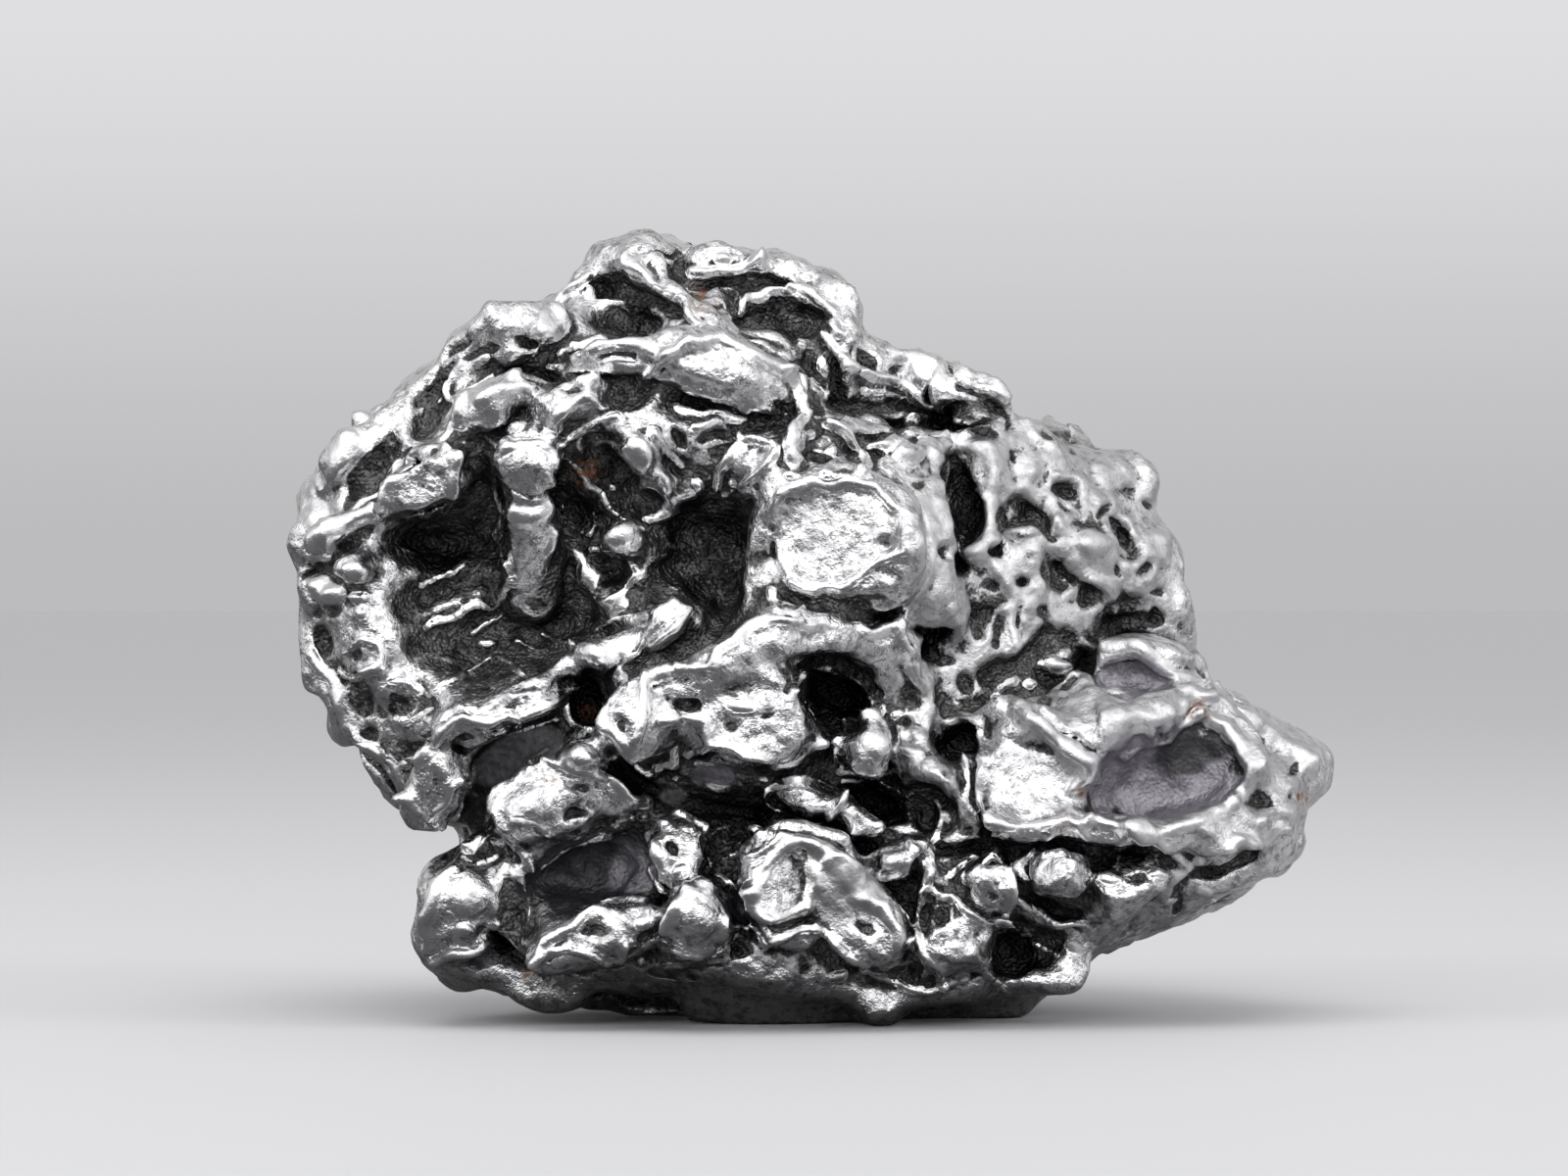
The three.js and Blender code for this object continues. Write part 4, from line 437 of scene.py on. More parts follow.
# Flat worn faces: x, z, half width, half height, lean, how flat from 0 to 1, how far they are tipped up.
FLATS = [
    (2.4, 21.2, 3.1, 2.8, 0, 0.9, 0.14),
    (-1.4, 12.9, 2.9, 2.3, 0, 0.9, 0.38),
    (-6.4, 13.0, 1.1, 1.4, 0, 0.5, 0.2),
    (-3.0, 28.6, 2.1, 0.8, -15, 0.7, 0.35),
    (-16.0, 23.5, 1.6, 1.2, 25, 0.6, 0.3),
    (-10.8, 9.3, 2.3, 1.3, 25, 0.6, 0.35),
    (-14.4, 4.5, 1.7, 2.3, 0, 0.7, 0.15),
    (-3.9, 3.9, 1.5, 1.6, 0, 0.75, 0.2),
    (-8.3, 3.6, 1.8, 1.0, 0, 0.6, 0.25),
    (3.8, 11.9, 0.8, 0.9, 0, 0.5, 0.2),
    (11.9, 6.2, 1.7, 1.3, 0, 0.85, 0.5),
    (15.0, 5.8, 1.9, 1.4, 0, 0.85, 0.5),
    (19.5, 6.2, 2.0, 1.0, 20, 0.7, 0.4),
    (0.1, 5.8, 1.0, 1.5, -15, 0.8, 0.12),
    (2.5, 5.8, 1.1, 1.4, -35, 0.7, 0.1),
    (11.0, 10.2, 2.4, 2.0, -15, 0.5, 0.0),
    (13.0, 13.2, 1.0, 0.9, 0, 0.5, 0.0),
    (-12.2, 11.0, 2.2, 0.9, 38, 0.7, 0.0),
    (17.0, 10.2, 2.6, 1.2, 8, 0.4, 0.0),
    (-7.6, 30.9, 1.0, 0.6, -10, 0.5, 0.1),
]

# Ovals that are more polished (over 0) or more coated with oxide (under 0) than their height gives:
# x, z, half width, half height, lean, amount.
TINTS = [
    (-11.4, 21.8, 1.6, 4.0, -3, 0.9),
    (-16.0, 23.6, 1.7, 1.3, 25, 0.3),
    (-10.6, 9.8, 3.4, 1.7, 30, 0.4),
    (2.4, 21.0, 3.4, 2.8, 0, 1.3),
    (-9.5, 19.6, 8.6, 6.2, 0, -0.55),
    (-2.6, 20.4, 1.9, 2.6, 0, -0.6),
    (11.0, 20.5, 6.5, 6.0, -35, 0.1),
    (13.2, 19.0, 1.3, 1.0, -35, -0.35),
    (10.9, 21.9, 1.3, 0.9, -35, -0.3),
    (14.2, 21.8, 1.3, 0.6, -45, -0.3),
    (12.0, 25.8, 1.2, 0.6, -35, -0.4),
    (8.2, 20.4, 1.2, 0.8, -30, -0.3),
    (9.4, 17.2, 0.8, 1.4, 0, -0.2),
    (6.0, 19.5, 1.6, 4.0, 0, 0.5),
    (8.0, 15.6, 2.0, 2.4, 0, 0.3),
    (11.4, 10.6, 2.9, 3.0, -20, 0.8),
    (14.0, 12.9, 2.4, 1.4, 0, 0.5),
    (18.5, 13.6, 5.5, 1.2, -28, 0.5),
    (18.0, 7.8, 5.0, 1.0, -5, 0.4),
    (22.6, 10.6, 1.6, 2.2, 0, 0.3),
    (17.2, 10.3, 3.3, 1.5, 8, -0.25),
    (0.0, 16.2, 5.0, 1.2, 5, 0.6),
    (-2.4, 12.8, 3.4, 1.8, 0, 0.3),
    (4.3, 12.0, 1.8, 1.4, 0, 0.6),
    (2.3, 6.0, 1.8, 1.8, -40, 0.5),
    (0.0, 5.7, 0.9, 1.3, -15, -0.1),
    (-1.6, 8.0, 1.6, 1.2, 0, 0.3),
    (-8.8, 6.3, 2.8, 1.6, 5, -0.7),
    (-12.1, 4.0, 0.9, 2.4, 0, -0.7),
    (-3.0, 28.5, 3.2, 1.2, -12, 0.5),
    (-3.9, 4.3, 1.2, 1.2, 20, 0.5),
    (-14.3, 4.6, 1.3, 1.6, 0, 0.4),
    (-11.2, 9.4, 1.8, 1.2, 20, 0.4),
    (10.0, 2.4, 1.6, 1.4, 0, -0.9),
    (15.2, 17.3, 1.8, 0.8, 0, -0.7),
    (0.0, 30.8, 2.4, 1.1, -12, -0.5),
    (5.8, 28.3, 1.8, 0.9, -15, 0.4),
    (8.3, 22.9, 0.8, 2.0, 15, -0.6),
    (0.0, 8.9, 3.0, 0.7, -10, -0.4),
    (4.0, 9.2, 1.4, 0.9, -25, -0.9),
    (2.6, 14.0, 1.5, 1.1, -30, -1.0),
    (-8.7, 13.8, 1.0, 1.2, 0, -1.0),
    (-7.2, 31.9, 1.6, 0.5, -15, -0.6),
    (-7.6, 30.9, 1.2, 0.7, -10, 0.5),
]

# How many lips and grooves, and domes and dishes, are scattered over the sides, back and top.
SCATTERED_LIPS = 480
SCATTERED_LUMPS = 420

# Ovals with a softer, satin polish: x, z, half width, half height, lean, amount.
SATIN = [
    (11.8, 21.5, 7.6, 6.0, -35, 1.0),
    (8.0, 17.5, 2.6, 4.5, 0, 0.9),
    (17.5, 12.0, 8.5, 4.9, -10, 0.65),
    (3.0, 5.5, 1.6, 2.2, -40, 0.8),
    (7.0, 12.0, 2.0, 4.5, 10, 0.6),
]

# Hollows with a smooth grey coat: x, z, half width, half height, lean, tone from 0 for dark to 1 for light.
BLOOM = [
    (16.8, 10.4, 3.6, 2.0, 8, 0.85),
    (18.2, 11.7, 2.1, 1.2, 20, 0.25),
    (15.6, 14.7, 1.8, 1.0, -8, 0.8),
    (-8.8, 6.2, 3.1, 1.6, 5, 0.2),
    (-6.7, 6.3, 1.2, 1.1, 0, 0.55),
    (-2.0, 4.9, 0.5, 0.9, 15, 0.5),
    (-3.3, 10.5, 1.0, 0.5, 0, 0.6),
    (-14.0, 2.4, 1.4, 0.6, 0, 0.4),
    (-9.3, 2.3, 1.2, 0.4, 0, 0.4),
    (-4.3, 1.9, 1.6, 0.5, 0, 0.4),
]

# Rust spots: (x, z, radius).
RUST = [
    (-8.8, 24.0, 0.9),
    (-3.6, 31.6, 0.8),
    (18.4, 13.4, 0.8),
    (23.0, 9.5, 0.6),
    (13.2, 9.8, 0.5),
    (12.5, 8.6, 0.5),
    (-8.8, 13.4, 0.6),
    (-11.4, 1.8, 0.6),
    (-10.4, 10.4, 0.5),
]

# Grey filling of the crack on the left: (x, z, half width, half height, lean).
FILLING = [
    (-11.8, 11.4, 2.4, 1.1, 26),
    (-4.9, 9.6, 0.7, 0.4, 0),
]


# Mesh arrays.


def read_rows(items, name, width, kind=np.float32):
    """One property of every item, as rows of numbers."""
    rows = np.empty(len(items) * width, kind)
    items.foreach_get(name, rows)
    return rows.reshape(-1, width)


def read_points(mesh):
    return read_rows(mesh.vertices, "co", 3).astype(np.float64)


def write_points(mesh, points):
    mesh.vertices.foreach_set("co", points.astype(np.float32).ravel())
    mesh.update()


def write_layer(mesh, name, values):
    layer = mesh.attributes.get(name) or mesh.attributes.new(name, "FLOAT", "POINT")
    layer.data.foreach_set("value", values.astype(np.float32))


class Neighbours:
    """Averages values over the vertices that share an edge, again and again."""

    def __init__(self, edges, count):
        self.a = np.concatenate((edges[:, 0], edges[:, 1]))
        self.b = np.concatenate((edges[:, 1], edges[:, 0]))
        self.count = count
        self.degree = np.bincount(self.a, minlength=count)

    def mean(self, values):
        if values.ndim == 1:
            return np.bincount(self.a, values[self.b], self.count) / self.degree
        return np.stack([self.mean(values[:, i]) for i in range(values.shape[1])], 1)

    def smooth(self, values, times, share=0.7):
        for _ in range(times):
            values = values + share * (self.mean(values) - values)
        return values


def edge_neighbours(mesh):
    return Neighbours(read_rows(mesh.edges, "vertices", 2, np.int32), len(mesh.vertices))


def read_skin(mesh):
    """The skin's points, normals, faces and neighbours."""
    normals = read_rows(mesh.vertices, "normal", 3).astype(np.float64)
    faces = [tuple(p.vertices) for p in mesh.polygons]
    return read_points(mesh), normals, faces, edge_neighbours(mesh)


# Repeatable noise.


def hashed(cells, salt):
    """Numbers from 0 to 1 for rows of whole numbers."""
    h = cells.astype(np.int64) * np.array((73856093, 19349663, 83492791))
    h = (h[..., 0] ^ h[..., 1] ^ h[..., 2]) + salt * 2654435761
    h = (h ^ (h >> 15)) * 2246822519 & 0xFFFFFFFF
    h = (h ^ (h >> 13)) * 3266489917 & 0xFFFFFFFF
    return ((h ^ (h >> 16)) & 0xFFFFFF) / float(0xFFFFFF)


def smooth_noise(points, size, salt):
    """Soft noise from -1 to 1 with lumps of the given size."""
    p = points / size
    cell = np.floor(p).astype(np.int64)
    f = p - cell
    f = f * f * (3 - 2 * f)
    total = np.zeros(len(points))
    for corner in np.ndindex(2, 2, 2):
        c = np.array(corner)
        weight = np.prod(np.where(c, f, 1 - f), axis=1)
        total += weight * hashed(cell + c, salt)
    return 2 * total - 1


def drift(points, size, salt):
    """Three soft noises, one for each direction."""
    return np.stack([smooth_noise(points, size, salt + k) for k in range(3)], 1)


def cell_noise(points, size, salt):
    """Distance to the nearest seed of scattered cells, in cell sizes."""
    p = points / size
    cell = np.floor(p).astype(np.int64)
    nearest = np.full(len(points), 9.0)
    for step in np.ndindex(3, 3, 3):
        c = cell + np.array(step) - 1
        seed = np.stack([hashed(c, salt + k) for k in range(3)], 1)
        nearest = np.minimum(nearest, np.sqrt(((c + seed - p) ** 2).sum(1)))
    return nearest


def soft_step(low, high, values):
    t = np.clip((values - low) / (high - low), 0, 1)
    return t * t * (3 - 2 * t)


# Places seen from the front.


def on_plane(points):
    """Where the lines of sight to the points cross the plane Y = 0, as x and z."""
    share = -EYE[1] / (points[:, 1] - EYE[1])
    return (
        EYE[0] + (points[:, 0] - EYE[0]) * share,
        EYE[2] + (points[:, 2] - EYE[2]) * share,
    )


def seen_share(points, normals, faces, neighbours):
    """1 where the eye sees the surface, fading to 0 where it turns away or is hidden."""
    tree = BVHTree.FromPolygons(points.tolist(), faces)
    sight = EYE - points
    reach = np.linalg.norm(sight, axis=1)
    sight /= reach[:, None]
    facing = (sight * normals).sum(1)
    starts = points + normals * 0.12
    seen = np.zeros(len(points))
    for i in np.nonzero(facing > 0.02)[0]:
        hit = tree.ray_cast(Vector(starts[i]), Vector(sight[i]), 60.0)
        seen[i] = hit[0] is None
    seen = neighbours.smooth(seen, 6)
    return seen * soft_step(0.05, 0.45, facing)


def open_share(points, normals, faces, neighbours, reach=6.0):
    """1 where nothing stands in front of the surface, under 1 in hollows and cracks."""
    tree = BVHTree.FromPolygons(points.tolist(), faces)
    starts = (points + normals * 0.15).tolist()
    free = np.zeros(len(points))
    total = np.full(len(points), 1e-6)
    turns = 16
    for k in range(turns):
        up = 1 - (2 * k + 1) / turns
        side = math.sqrt(1 - up * up)
        way = Vector((side * math.cos(2.4 * k), side * math.sin(2.4 * k), up))
        facing = normals @ np.array(way)
        chosen = np.nonzero(facing > 0.15)[0]
        clear = [tree.ray_cast(starts[i], way, reach)[0] is None for i in chosen]
        free[chosen] += facing[chosen] * clear
        total[chosen] += facing[chosen]
    return neighbours.smooth(free / total, 3)


def oval(u, w, x, z, half_x, half_z, lean):
    """Distance from an oval's middle, as a share of its edge."""
    c, s = math.cos(math.radians(lean)), math.sin(math.radians(lean))
    du, dw = u - x, w - z
    return np.hypot((du * c + dw * s) / half_x, (dw * c - du * s) / half_z)


def way_distance(u, w, way):
    """Distance from the lines that join a way's points."""
    best = np.full(len(u), 99.0)
    for (x0, z0), (x1, z1) in zip(way, way[1:]):
        dx, dz = x1 - x0, z1 - z0
        t = np.clip(((u - x0) * dx + (w - z0) * dz) / (dx * dx + dz * dz), 0, 1)
        best = np.minimum(best, np.hypot(u - x0 - t * dx, w - z0 - t * dz))
    return best


def satin_share(u, w):
    """How satin the polish is, from 0 to 1."""
    share = np.zeros(len(u))
    for *place, amount in SATIN:
        share = np.maximum(share, amount * (1 - soft_step(0.6, 1.1, oval(u, w, *place))))
    return share


def bump_profile(share):
    """1 in the middle, 0 from the edge on."""
    return np.clip(1 - share * share, 0, None) ** 2


def stand_out(points, u, w, seen, roundness, way):
    """Draws the front of the points near a way on to one smooth bar."""
    share = np.full(len(u), 9.0)
    along = np.zeros(len(u))
    half = np.ones(len(u))
    for k, (start, end) in enumerate(zip(way, way[1:])):
        step = end[:2] - start[:2]
        t = np.clip(((u - start[0]) * step[0] + (w - start[1]) * step[1]) / (step @ step), 0, 1)
        width = start[2] + t * (end[2] - start[2])
        distance = np.hypot(u - start[0] - t * step[0], w - start[1] - t * step[1]) / width
        closer = distance < share
        share[closer], along[closer], half[closer] = distance[closer], k + t[closer], width[closer]
    fronts = []
    for k, (x, z, width) in enumerate(way):
        core = (np.hypot(u - x, w - z) < 0.5 * width) & (seen > ON_BEST_SIDE)
        if core.any():
            fronts.append((k, np.percentile(points[core, 1], 5)))
    if len(fronts) < 2:
        raise RuntimeError(f"the bar at {way[0][0]}, {way[0][1]} is off the lump")
    slope, level = np.polyfit(*np.transpose(fronts), 1)
    depth = level + slope * along
    depth += roundness * half * (1 - np.sqrt(np.clip(1 - share * share, 0, None)))
    chosen = (share < 1) & (points[:, 1] < depth + 1.5)
    blend = 1 - soft_step(0.85, 1.0, share[chosen])
    points[chosen, 1] += blend * (depth[chosen] - points[chosen, 1])
    return chosen


def near_way(points, way, reach):
    """The points within reach of a way in space, and their distances from it."""
    low, high = np.min(way, 0) - reach, np.max(way, 0) + reach
    chosen = np.nonzero(((points > low) & (points < high)).all(1))[0]
    best = np.full(len(chosen), 99.0)
    for start, end in zip(way, way[1:]):
        along = end - start
        offset = points[chosen] - start
        t = np.clip(offset @ along / max(along @ along, 1e-9), 0, 1)
        best = np.minimum(best, np.linalg.norm(offset - t[:, None] * along, axis=1))
    return chosen, best


def wander_way(tree, points, normals, start, steps, rng):
    """A winding way over the surface from one of its points."""
    way = [points[start]]
    course = rng.normal(size=3)
    for _ in range(steps):
        course = course - (course @ normals[start]) * normals[start]
        course /= np.linalg.norm(course)
        _, start, _ = tree.find(way[-1] + 0.8 * course)
        way.append(points[start])
        course = course + 0.5 * rng.normal(size=3)
    return way


def scatter_relief(points, normals, amount):
    """Winding lips and grooves, domes and dishes where the best side's own strokes don't reach."""
    rng = np.random.default_rng(17)
    place = points + WANDER_REACH * drift(points, WANDER_SIZE, 71)
    tree = KDTree(len(points))
    for i, co in enumerate(points.tolist()):
        tree.insert(co, i)
    tree.balance()
    hidden = np.nonzero(amount > 0.4)[0]
    height = np.zeros(len(points))
    worked = np.zeros(len(points))
    for _ in range(SCATTERED_LIPS):
        way = wander_way(tree, points, normals, rng.choice(hidden), rng.integers(2, 6), rng)
        sign = 1 if rng.random() < 0.72 else -1
        half_width, rise = rng.uniform(0.3, 0.6), rng.uniform(0.22, 0.42)
        chosen, distance = near_way(place, way, 1.3 * half_width)
        profile = amount[chosen] * bump_profile(distance / (STROKE_FOOT * half_width))
        height[chosen] += sign * rise * profile
        worked[chosen] += sign * profile
    for _ in range(SCATTERED_LUMPS):
        start = rng.choice(hidden)
        way = wander_way(tree, points, normals, start, 1, rng)
        half_width, rise = rng.uniform(0.5, 1.7), rng.uniform(0.2, 0.5)
        sign = 1 if rng.random() < 0.6 else -1
        chosen, distance = near_way(place, way, half_width)
        form = amount[chosen] * np.clip(1 - (distance / half_width) ** 2, 0, None) ** 0.9
        height[chosen] += sign * rise * form
        worked[chosen] += sign * min(1.0, 0.8 / half_width) * form
    return height, worked


# Steps of the relief.


def press_in(points, normals, u, w):
    """Presses in knobs of the far side that would show over the best side's outline."""
    for x, z, radius, depth in PRESSED:
        points -= (depth * bump_profile(np.hypot(u - x, w - z) / radius))[:, None] * normals


def round_over(points, u, w, seen, neighbours):
    """Rounds over some forms of the best side."""
    rounded = neighbours.smooth(points, 60)
    for *place, amount in EASED:
        blend = amount * soft_step(0.0, 0.3, seen) * (1 - soft_step(0.6, 1.0, oval(u, w, *place)))
        points += blend[:, None] * (rounded - points)


def draw_bars(points, u, w, seen, neighbours):
    """Draws the smooth bars out of the best side and eases their edges."""
    moved = np.zeros(len(points))
    for roundness, way in BARS:
        moved[stand_out(points, u, w, seen, roundness, np.array(way))] = 1
    points += neighbours.smooth(moved, 4)[:, None] * (neighbours.smooth(points, 7) - points)


def wear_flats(points, normals, u, w, seen):
    """Evens out the flat worn faces, and gives how worn each point is."""
    worn = np.zeros(len(points))
    for *place, flatness, tip in FLATS:
        share = oval(u, w, *place)
        inside = (share < 1) & (seen > ON_BEST_SIDE)
        if not inside.any():
            raise RuntimeError(f"the flat at {place[0]}, {place[1]} is off the lump")
        core = inside & (share < 0.6)
        middle = points[core].mean(0)
        normal = normals[core].mean(0)
        normal[2] += tip * np.linalg.norm(normal)
        normal /= np.linalg.norm(normal)
        away = (points[inside] - middle) @ normal
        blend = flatness * (1 - soft_step(0.7, 1.0, share[inside]))
        points[inside] -= (blend * away)[:, None] * normal
        worn[inside] = np.maximum(worn[inside], blend)
    return worn


def best_side_relief(points, u, w, seen):
    """Height and worked share of the strokes and ovals of the best side."""
    height = np.zeros(len(points))
    worked = np.zeros(len(points))
    near = np.nonzero(seen > 0.01)[0]
    soft = satin_share(u[near], w[near])
    wander = drift(points[near], WANDER_SIZE, 51)
    un, wn = u[near] + WANDER_REACH * wander[:, 0], w[near] + WANDER_REACH * wander[:, 1]
    strength = seen[near] * (1 + 0.35 * wander[:, 2])
    for sign, strokes in ((1, RIDGES), (-1, GROOVES)):
        for half_width, rise, way in strokes:
            low, high = np.min(way, 0) - half_width * 1.3, np.max(way, 0) + half_width * 1.3
            box = (un > low[0]) & (un < high[0]) & (wn > low[1]) & (wn < high[1])
            foot = STROKE_FOOT * half_width * (1 + 0.3 * soft[box])
            profile = strength[box] * (1 - 0.35 * soft[box]) * bump_profile(way_distance(un[box], wn[box], way) / foot)
            height[near[box]] += sign * rise * profile
            worked[near[box]] += sign * profile
    for x, z, half_x, half_z, lean, rise in OVALS:
        share = oval(un, wn, x, z, half_x, half_z, lean)
        box = share < 1.4
        share = share[box]
        form = np.clip(1 - share**2, 0, None) ** (0.9 if rise > 0 else 0.9 + 0.7 * soft[box])
        lip = bump_profile((share - 1.1) / 0.3) if rise < 0 else 0
        height[near[box]] += strength[box] * (rise * form - 0.08 * rise * lip)
        size = min(1.0, 1.1 / max(half_x, half_z)) * (0.3 if rise > 0 and half_x > 0.9 else 1.0)
        worked[near[box]] += strength[box] * (size * np.sign(rise) * form + 0.15 * lip)
    return height, worked


def add_dimples(height, points, away, seen, worn):
    """Adds hammered dimples with thin lips between them, and small lumps."""
    bend = drift(points, BEND_SIZE, 11)
    calm = 1 - 0.8 * worn
    wide = cell_noise(points + 0.6 * bend, WIDE_DIMPLE, 21)
    height += away * calm * (1 - 0.7 * seen) * WIDE_DEPTH * (soft_step(0.0, 0.75, wide) - 0.5)
    small = cell_noise(points + 0.35 * bend, SMALL_DIMPLE, 31)
    height += calm * SMALL_DEPTH * (soft_step(0.0, 0.7, small) - 0.5)
    height += GRAIN_HEIGHT * smooth_noise(points, GRAIN_SIZE, 41)


# Steps of the polish.


def rust_share(u, w, front):
    rust = np.zeros(len(u))
    for x, z, radius in RUST:
        rust = np.maximum(rust, front * (1 - soft_step(0.2, 1, np.hypot(u - x, w - z) / radius)))
    return rust


def filling_share(u, w, front, rise):
    """1 where the grey filling lies, which is only in low places."""
    filling = np.zeros(len(u))
    deep = 1 - soft_step(-0.1, 0.25, rise)
    for place in FILLING:
        filling = np.maximum(filling, front * deep * (1 - soft_step(0.8, 1, oval(u, w, *place))))
    return filling


def bloom_share(points, u, w):
    """How far the soft coat covers each point, and its tone there."""
    bloom = np.zeros(len(u))
    tones = np.zeros(len(u))
    for *place, tone in BLOOM:
        share = oval(u, w, *place) + 0.25 * smooth_noise(points, 0.8, 61)
        over = 1 - soft_step(0.7, 1.1, share)
        tones = tones * (1 - over) + tone * over
        bloom = bloom * (1 - over) + over
    return bloom, tones / np.maximum(bloom, 0.001)


def thin_out(skin, normals, most):
    """Takes triangles away until at most the given number is left, first from the back."""
    group = skin.vertex_groups.new(name="Keep")
    facing = soft_step(-0.3, 0.3, -normals[:, 1])
    for level in range(5):
        chosen = np.nonzero((facing * 4.999).astype(int) == level)[0]
        group.add(chosen.tolist(), 1 - 0.16 * level, "REPLACE")
    count = sum(len(p.vertices) - 2 for p in skin.data.polygons)
    if count > most:
        thin = skin.modifiers.new("Thin", "DECIMATE")
        thin.ratio = most / count
        thin.vertex_group = group.name
        thin.vertex_group_factor = 1.0
        thin.use_collapse_triangulate = True
        apply_all(skin)
    skin.vertex_groups.clear()


# The operators.


def only(obj):
    bpy.ops.object.select_all(action="DESELECT")
    obj.select_set(True)
    bpy.context.view_layer.objects.active = obj


def apply_all(obj):
    only(obj)
    for modifier in list(obj.modifiers):
        bpy.ops.object.modifier_apply(modifier=modifier.name)


class MeteoriteSizes(bpy.types.PropertyGroup):
    voxel: bpy.props.FloatProperty(
        name="Skin Grain", description="Edge of the skin's cells, in millimetres", default=0.18, min=0.12, max=0.6
    )
    softening: bpy.props.IntProperty(
        name="Softening", description="Times that the skin's cells are averaged", default=16, min=0, max=60
    )
    triangles: bpy.props.IntProperty(
        name="Triangles", description="Triangles left in the finished skin", default=190000, min=20000
    )


class MeteoriteColours(bpy.types.PropertyGroup):
    iron: bpy.props.FloatVectorProperty(
        name="Polished Iron",
        description="Colour of the polished high places",
        subtype="COLOR",
        default=(0.86, 0.86, 0.87),
    )
    oxide: bpy.props.FloatVectorProperty(
        name="Oxide",
        description="Colour of the black crust in the hollows",
        subtype="COLOR",
        default=(0.11, 0.108, 0.106),
    )
    rust: bpy.props.FloatVectorProperty(
        name="Rust", description="Colour of the rust spots", subtype="COLOR", default=(0.2, 0.07, 0.025)
    )
    floor: bpy.props.FloatVectorProperty(
        name="Floor", description="Colour of the floor", subtype="COLOR", default=(0.6, 0.6, 0.61)
    )


class OBJECT_OT_meteorite_body(bpy.types.Operator):
    """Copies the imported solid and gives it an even, softened skin"""

    bl_idname = "object.meteorite_body"
    bl_label = "Meteorite Body"

    def execute(self, context):
        sizes = context.scene.meteorite_sizes
        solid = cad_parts[NODE]
        skin = bpy.data.objects.new(PIECE, solid.data.copy())
        context.scene.collection.objects.link(skin)
        only(skin)
        skin.scale = (1 / MM,) * 3
        bpy.ops.object.transform_apply(location=False, rotation=False, scale=True)
        bpy.ops.object.mode_set(mode="EDIT")
        bpy.ops.mesh.select_all(action="SELECT")
        bpy.ops.mesh.remove_doubles(threshold=0.002)
        bpy.ops.mesh.normals_make_consistent(inside=False)
        bpy.ops.object.mode_set(mode="OBJECT")
        remesh = skin.modifiers.new("Even Cells", "REMESH")
        remesh.mode = "VOXEL"
        remesh.voxel_size = sizes.voxel
        apply_all(skin)
        mesh = skin.data
        neighbours = edge_neighbours(mesh)
        soft = neighbours.smooth(read_points(mesh), sizes.softening)
        softer = neighbours.smooth(soft, 2 * sizes.softening)
        write_points(mesh, soft + 0.8 * (soft - softer))
        return {"FINISHED"}


class OBJECT_OT_meteorite_relief(bpy.types.Operator):
    """Raises and cuts the fine relief: lips, dishes, flats, hammered dimples and grains"""

    bl_idname = "object.meteorite_relief"
    bl_label = "Meteorite Relief"

    def execute(self, context):
        mesh = bpy.data.objects[PIECE].data
        points, normals, faces, neighbours = read_skin(mesh)
        seen = seen_share(points, normals, faces, neighbours)
        u, w = on_plane(points)
        press_in(points, normals, u, w)
        round_over(points, u, w, seen, neighbours)
        draw_bars(points, u, w, seen, neighbours)
        worn = wear_flats(points, normals, u, w, seen)

        height, worked = best_side_relief(points, u, w, seen)
        more_height, more_worked = scatter_relief(points, normals, 1 - soft_step(0.0, 0.5, seen))
        away = 1 - 0.6 * bump_profile(normals[:, 1] / 0.6)  # lower near the outline of the best side
        height += away * neighbours.smooth(more_height, 2)
        write_layer(mesh, "worked", worked + more_worked)
        add_dimples(height, points, away, seen, worn)

        # The flat spot it stands on stays flat.
        height *= soft_step(0.0, REST_FADE, points[:, 2])
        height += SHARPENING * seen * (height - neighbours.smooth(height, 5))
        outward = neighbours.smooth(normals, 4)
        outward /= np.linalg.norm(outward, axis=1)[:, None]
        points += height[:, None] * outward
        points[:, 2] = np.maximum(points[:, 2], 0)
        write_points(mesh, points)
        return {"FINISHED"}


class OBJECT_OT_meteorite_polish(bpy.types.Operator):
    """Works out where the skin is polished, rusty or filled, and thins the mesh"""

    bl_idname = "object.meteorite_polish"
    bl_label = "Meteorite Polish"

    def execute(self, context):
        skin = bpy.data.objects[PIECE]
        mesh = skin.data
        points, normals, faces, neighbours = read_skin(mesh)
        u, w = on_plane(points)
        front = soft_step(-0.1, 0.4, -normals[:, 1])
        fine = neighbours.smooth(points, 5)
        medium = neighbours.smooth(fine, 40)
        broad = neighbours.smooth(medium, 220, 0.9)
        fine_rise, medium_rise, broad_rise = (((points - p) * normals).sum(1) for p in (fine, medium, broad))
        clear = open_share(points, normals, faces, neighbours)
        worked = read_rows(mesh.attributes["worked"].data, "value", 1)[:, 0]
        polish = 0.45 + 5.0 * fine_rise + 2.0 * medium_rise + 0.4 * broad_rise + 1.1 * (clear - 0.72)
        polish += 0.6 * worked
        for *place, amount in TINTS:
            polish += front * amount * (1 - soft_step(0.55, 1.1, oval(u, w, *place)))
        bloom, tone = bloom_share(points, u, w)
        for name, values in (
            ("clear", clear),
            ("polish", np.clip(polish, -1, 2)),
            ("rust", rust_share(u, w, front)),
            ("filling", filling_share(u, w, front, medium_rise)),
            ("satin", front * satin_share(u, w)),
            ("bloom", bloom * soft_step(-0.6, -0.1, -normals[:, 1])),
            ("tone", tone),
        ):
            write_layer(mesh, name, values)
        thin_out(skin, normals, context.scene.meteorite_sizes.triangles)

        only(skin)
        bpy.ops.object.shade_smooth()
        skin.scale = (MM,) * 3
        bpy.ops.object.transform_apply(location=False, rotation=False, scale=True)
        skin.data.materials.clear()
        skin.data.materials.append(iron_material(context.scene.meteorite_colours))
        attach(skin, "root")
        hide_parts(NODE)
        return {"FINISHED"}


# Materials.


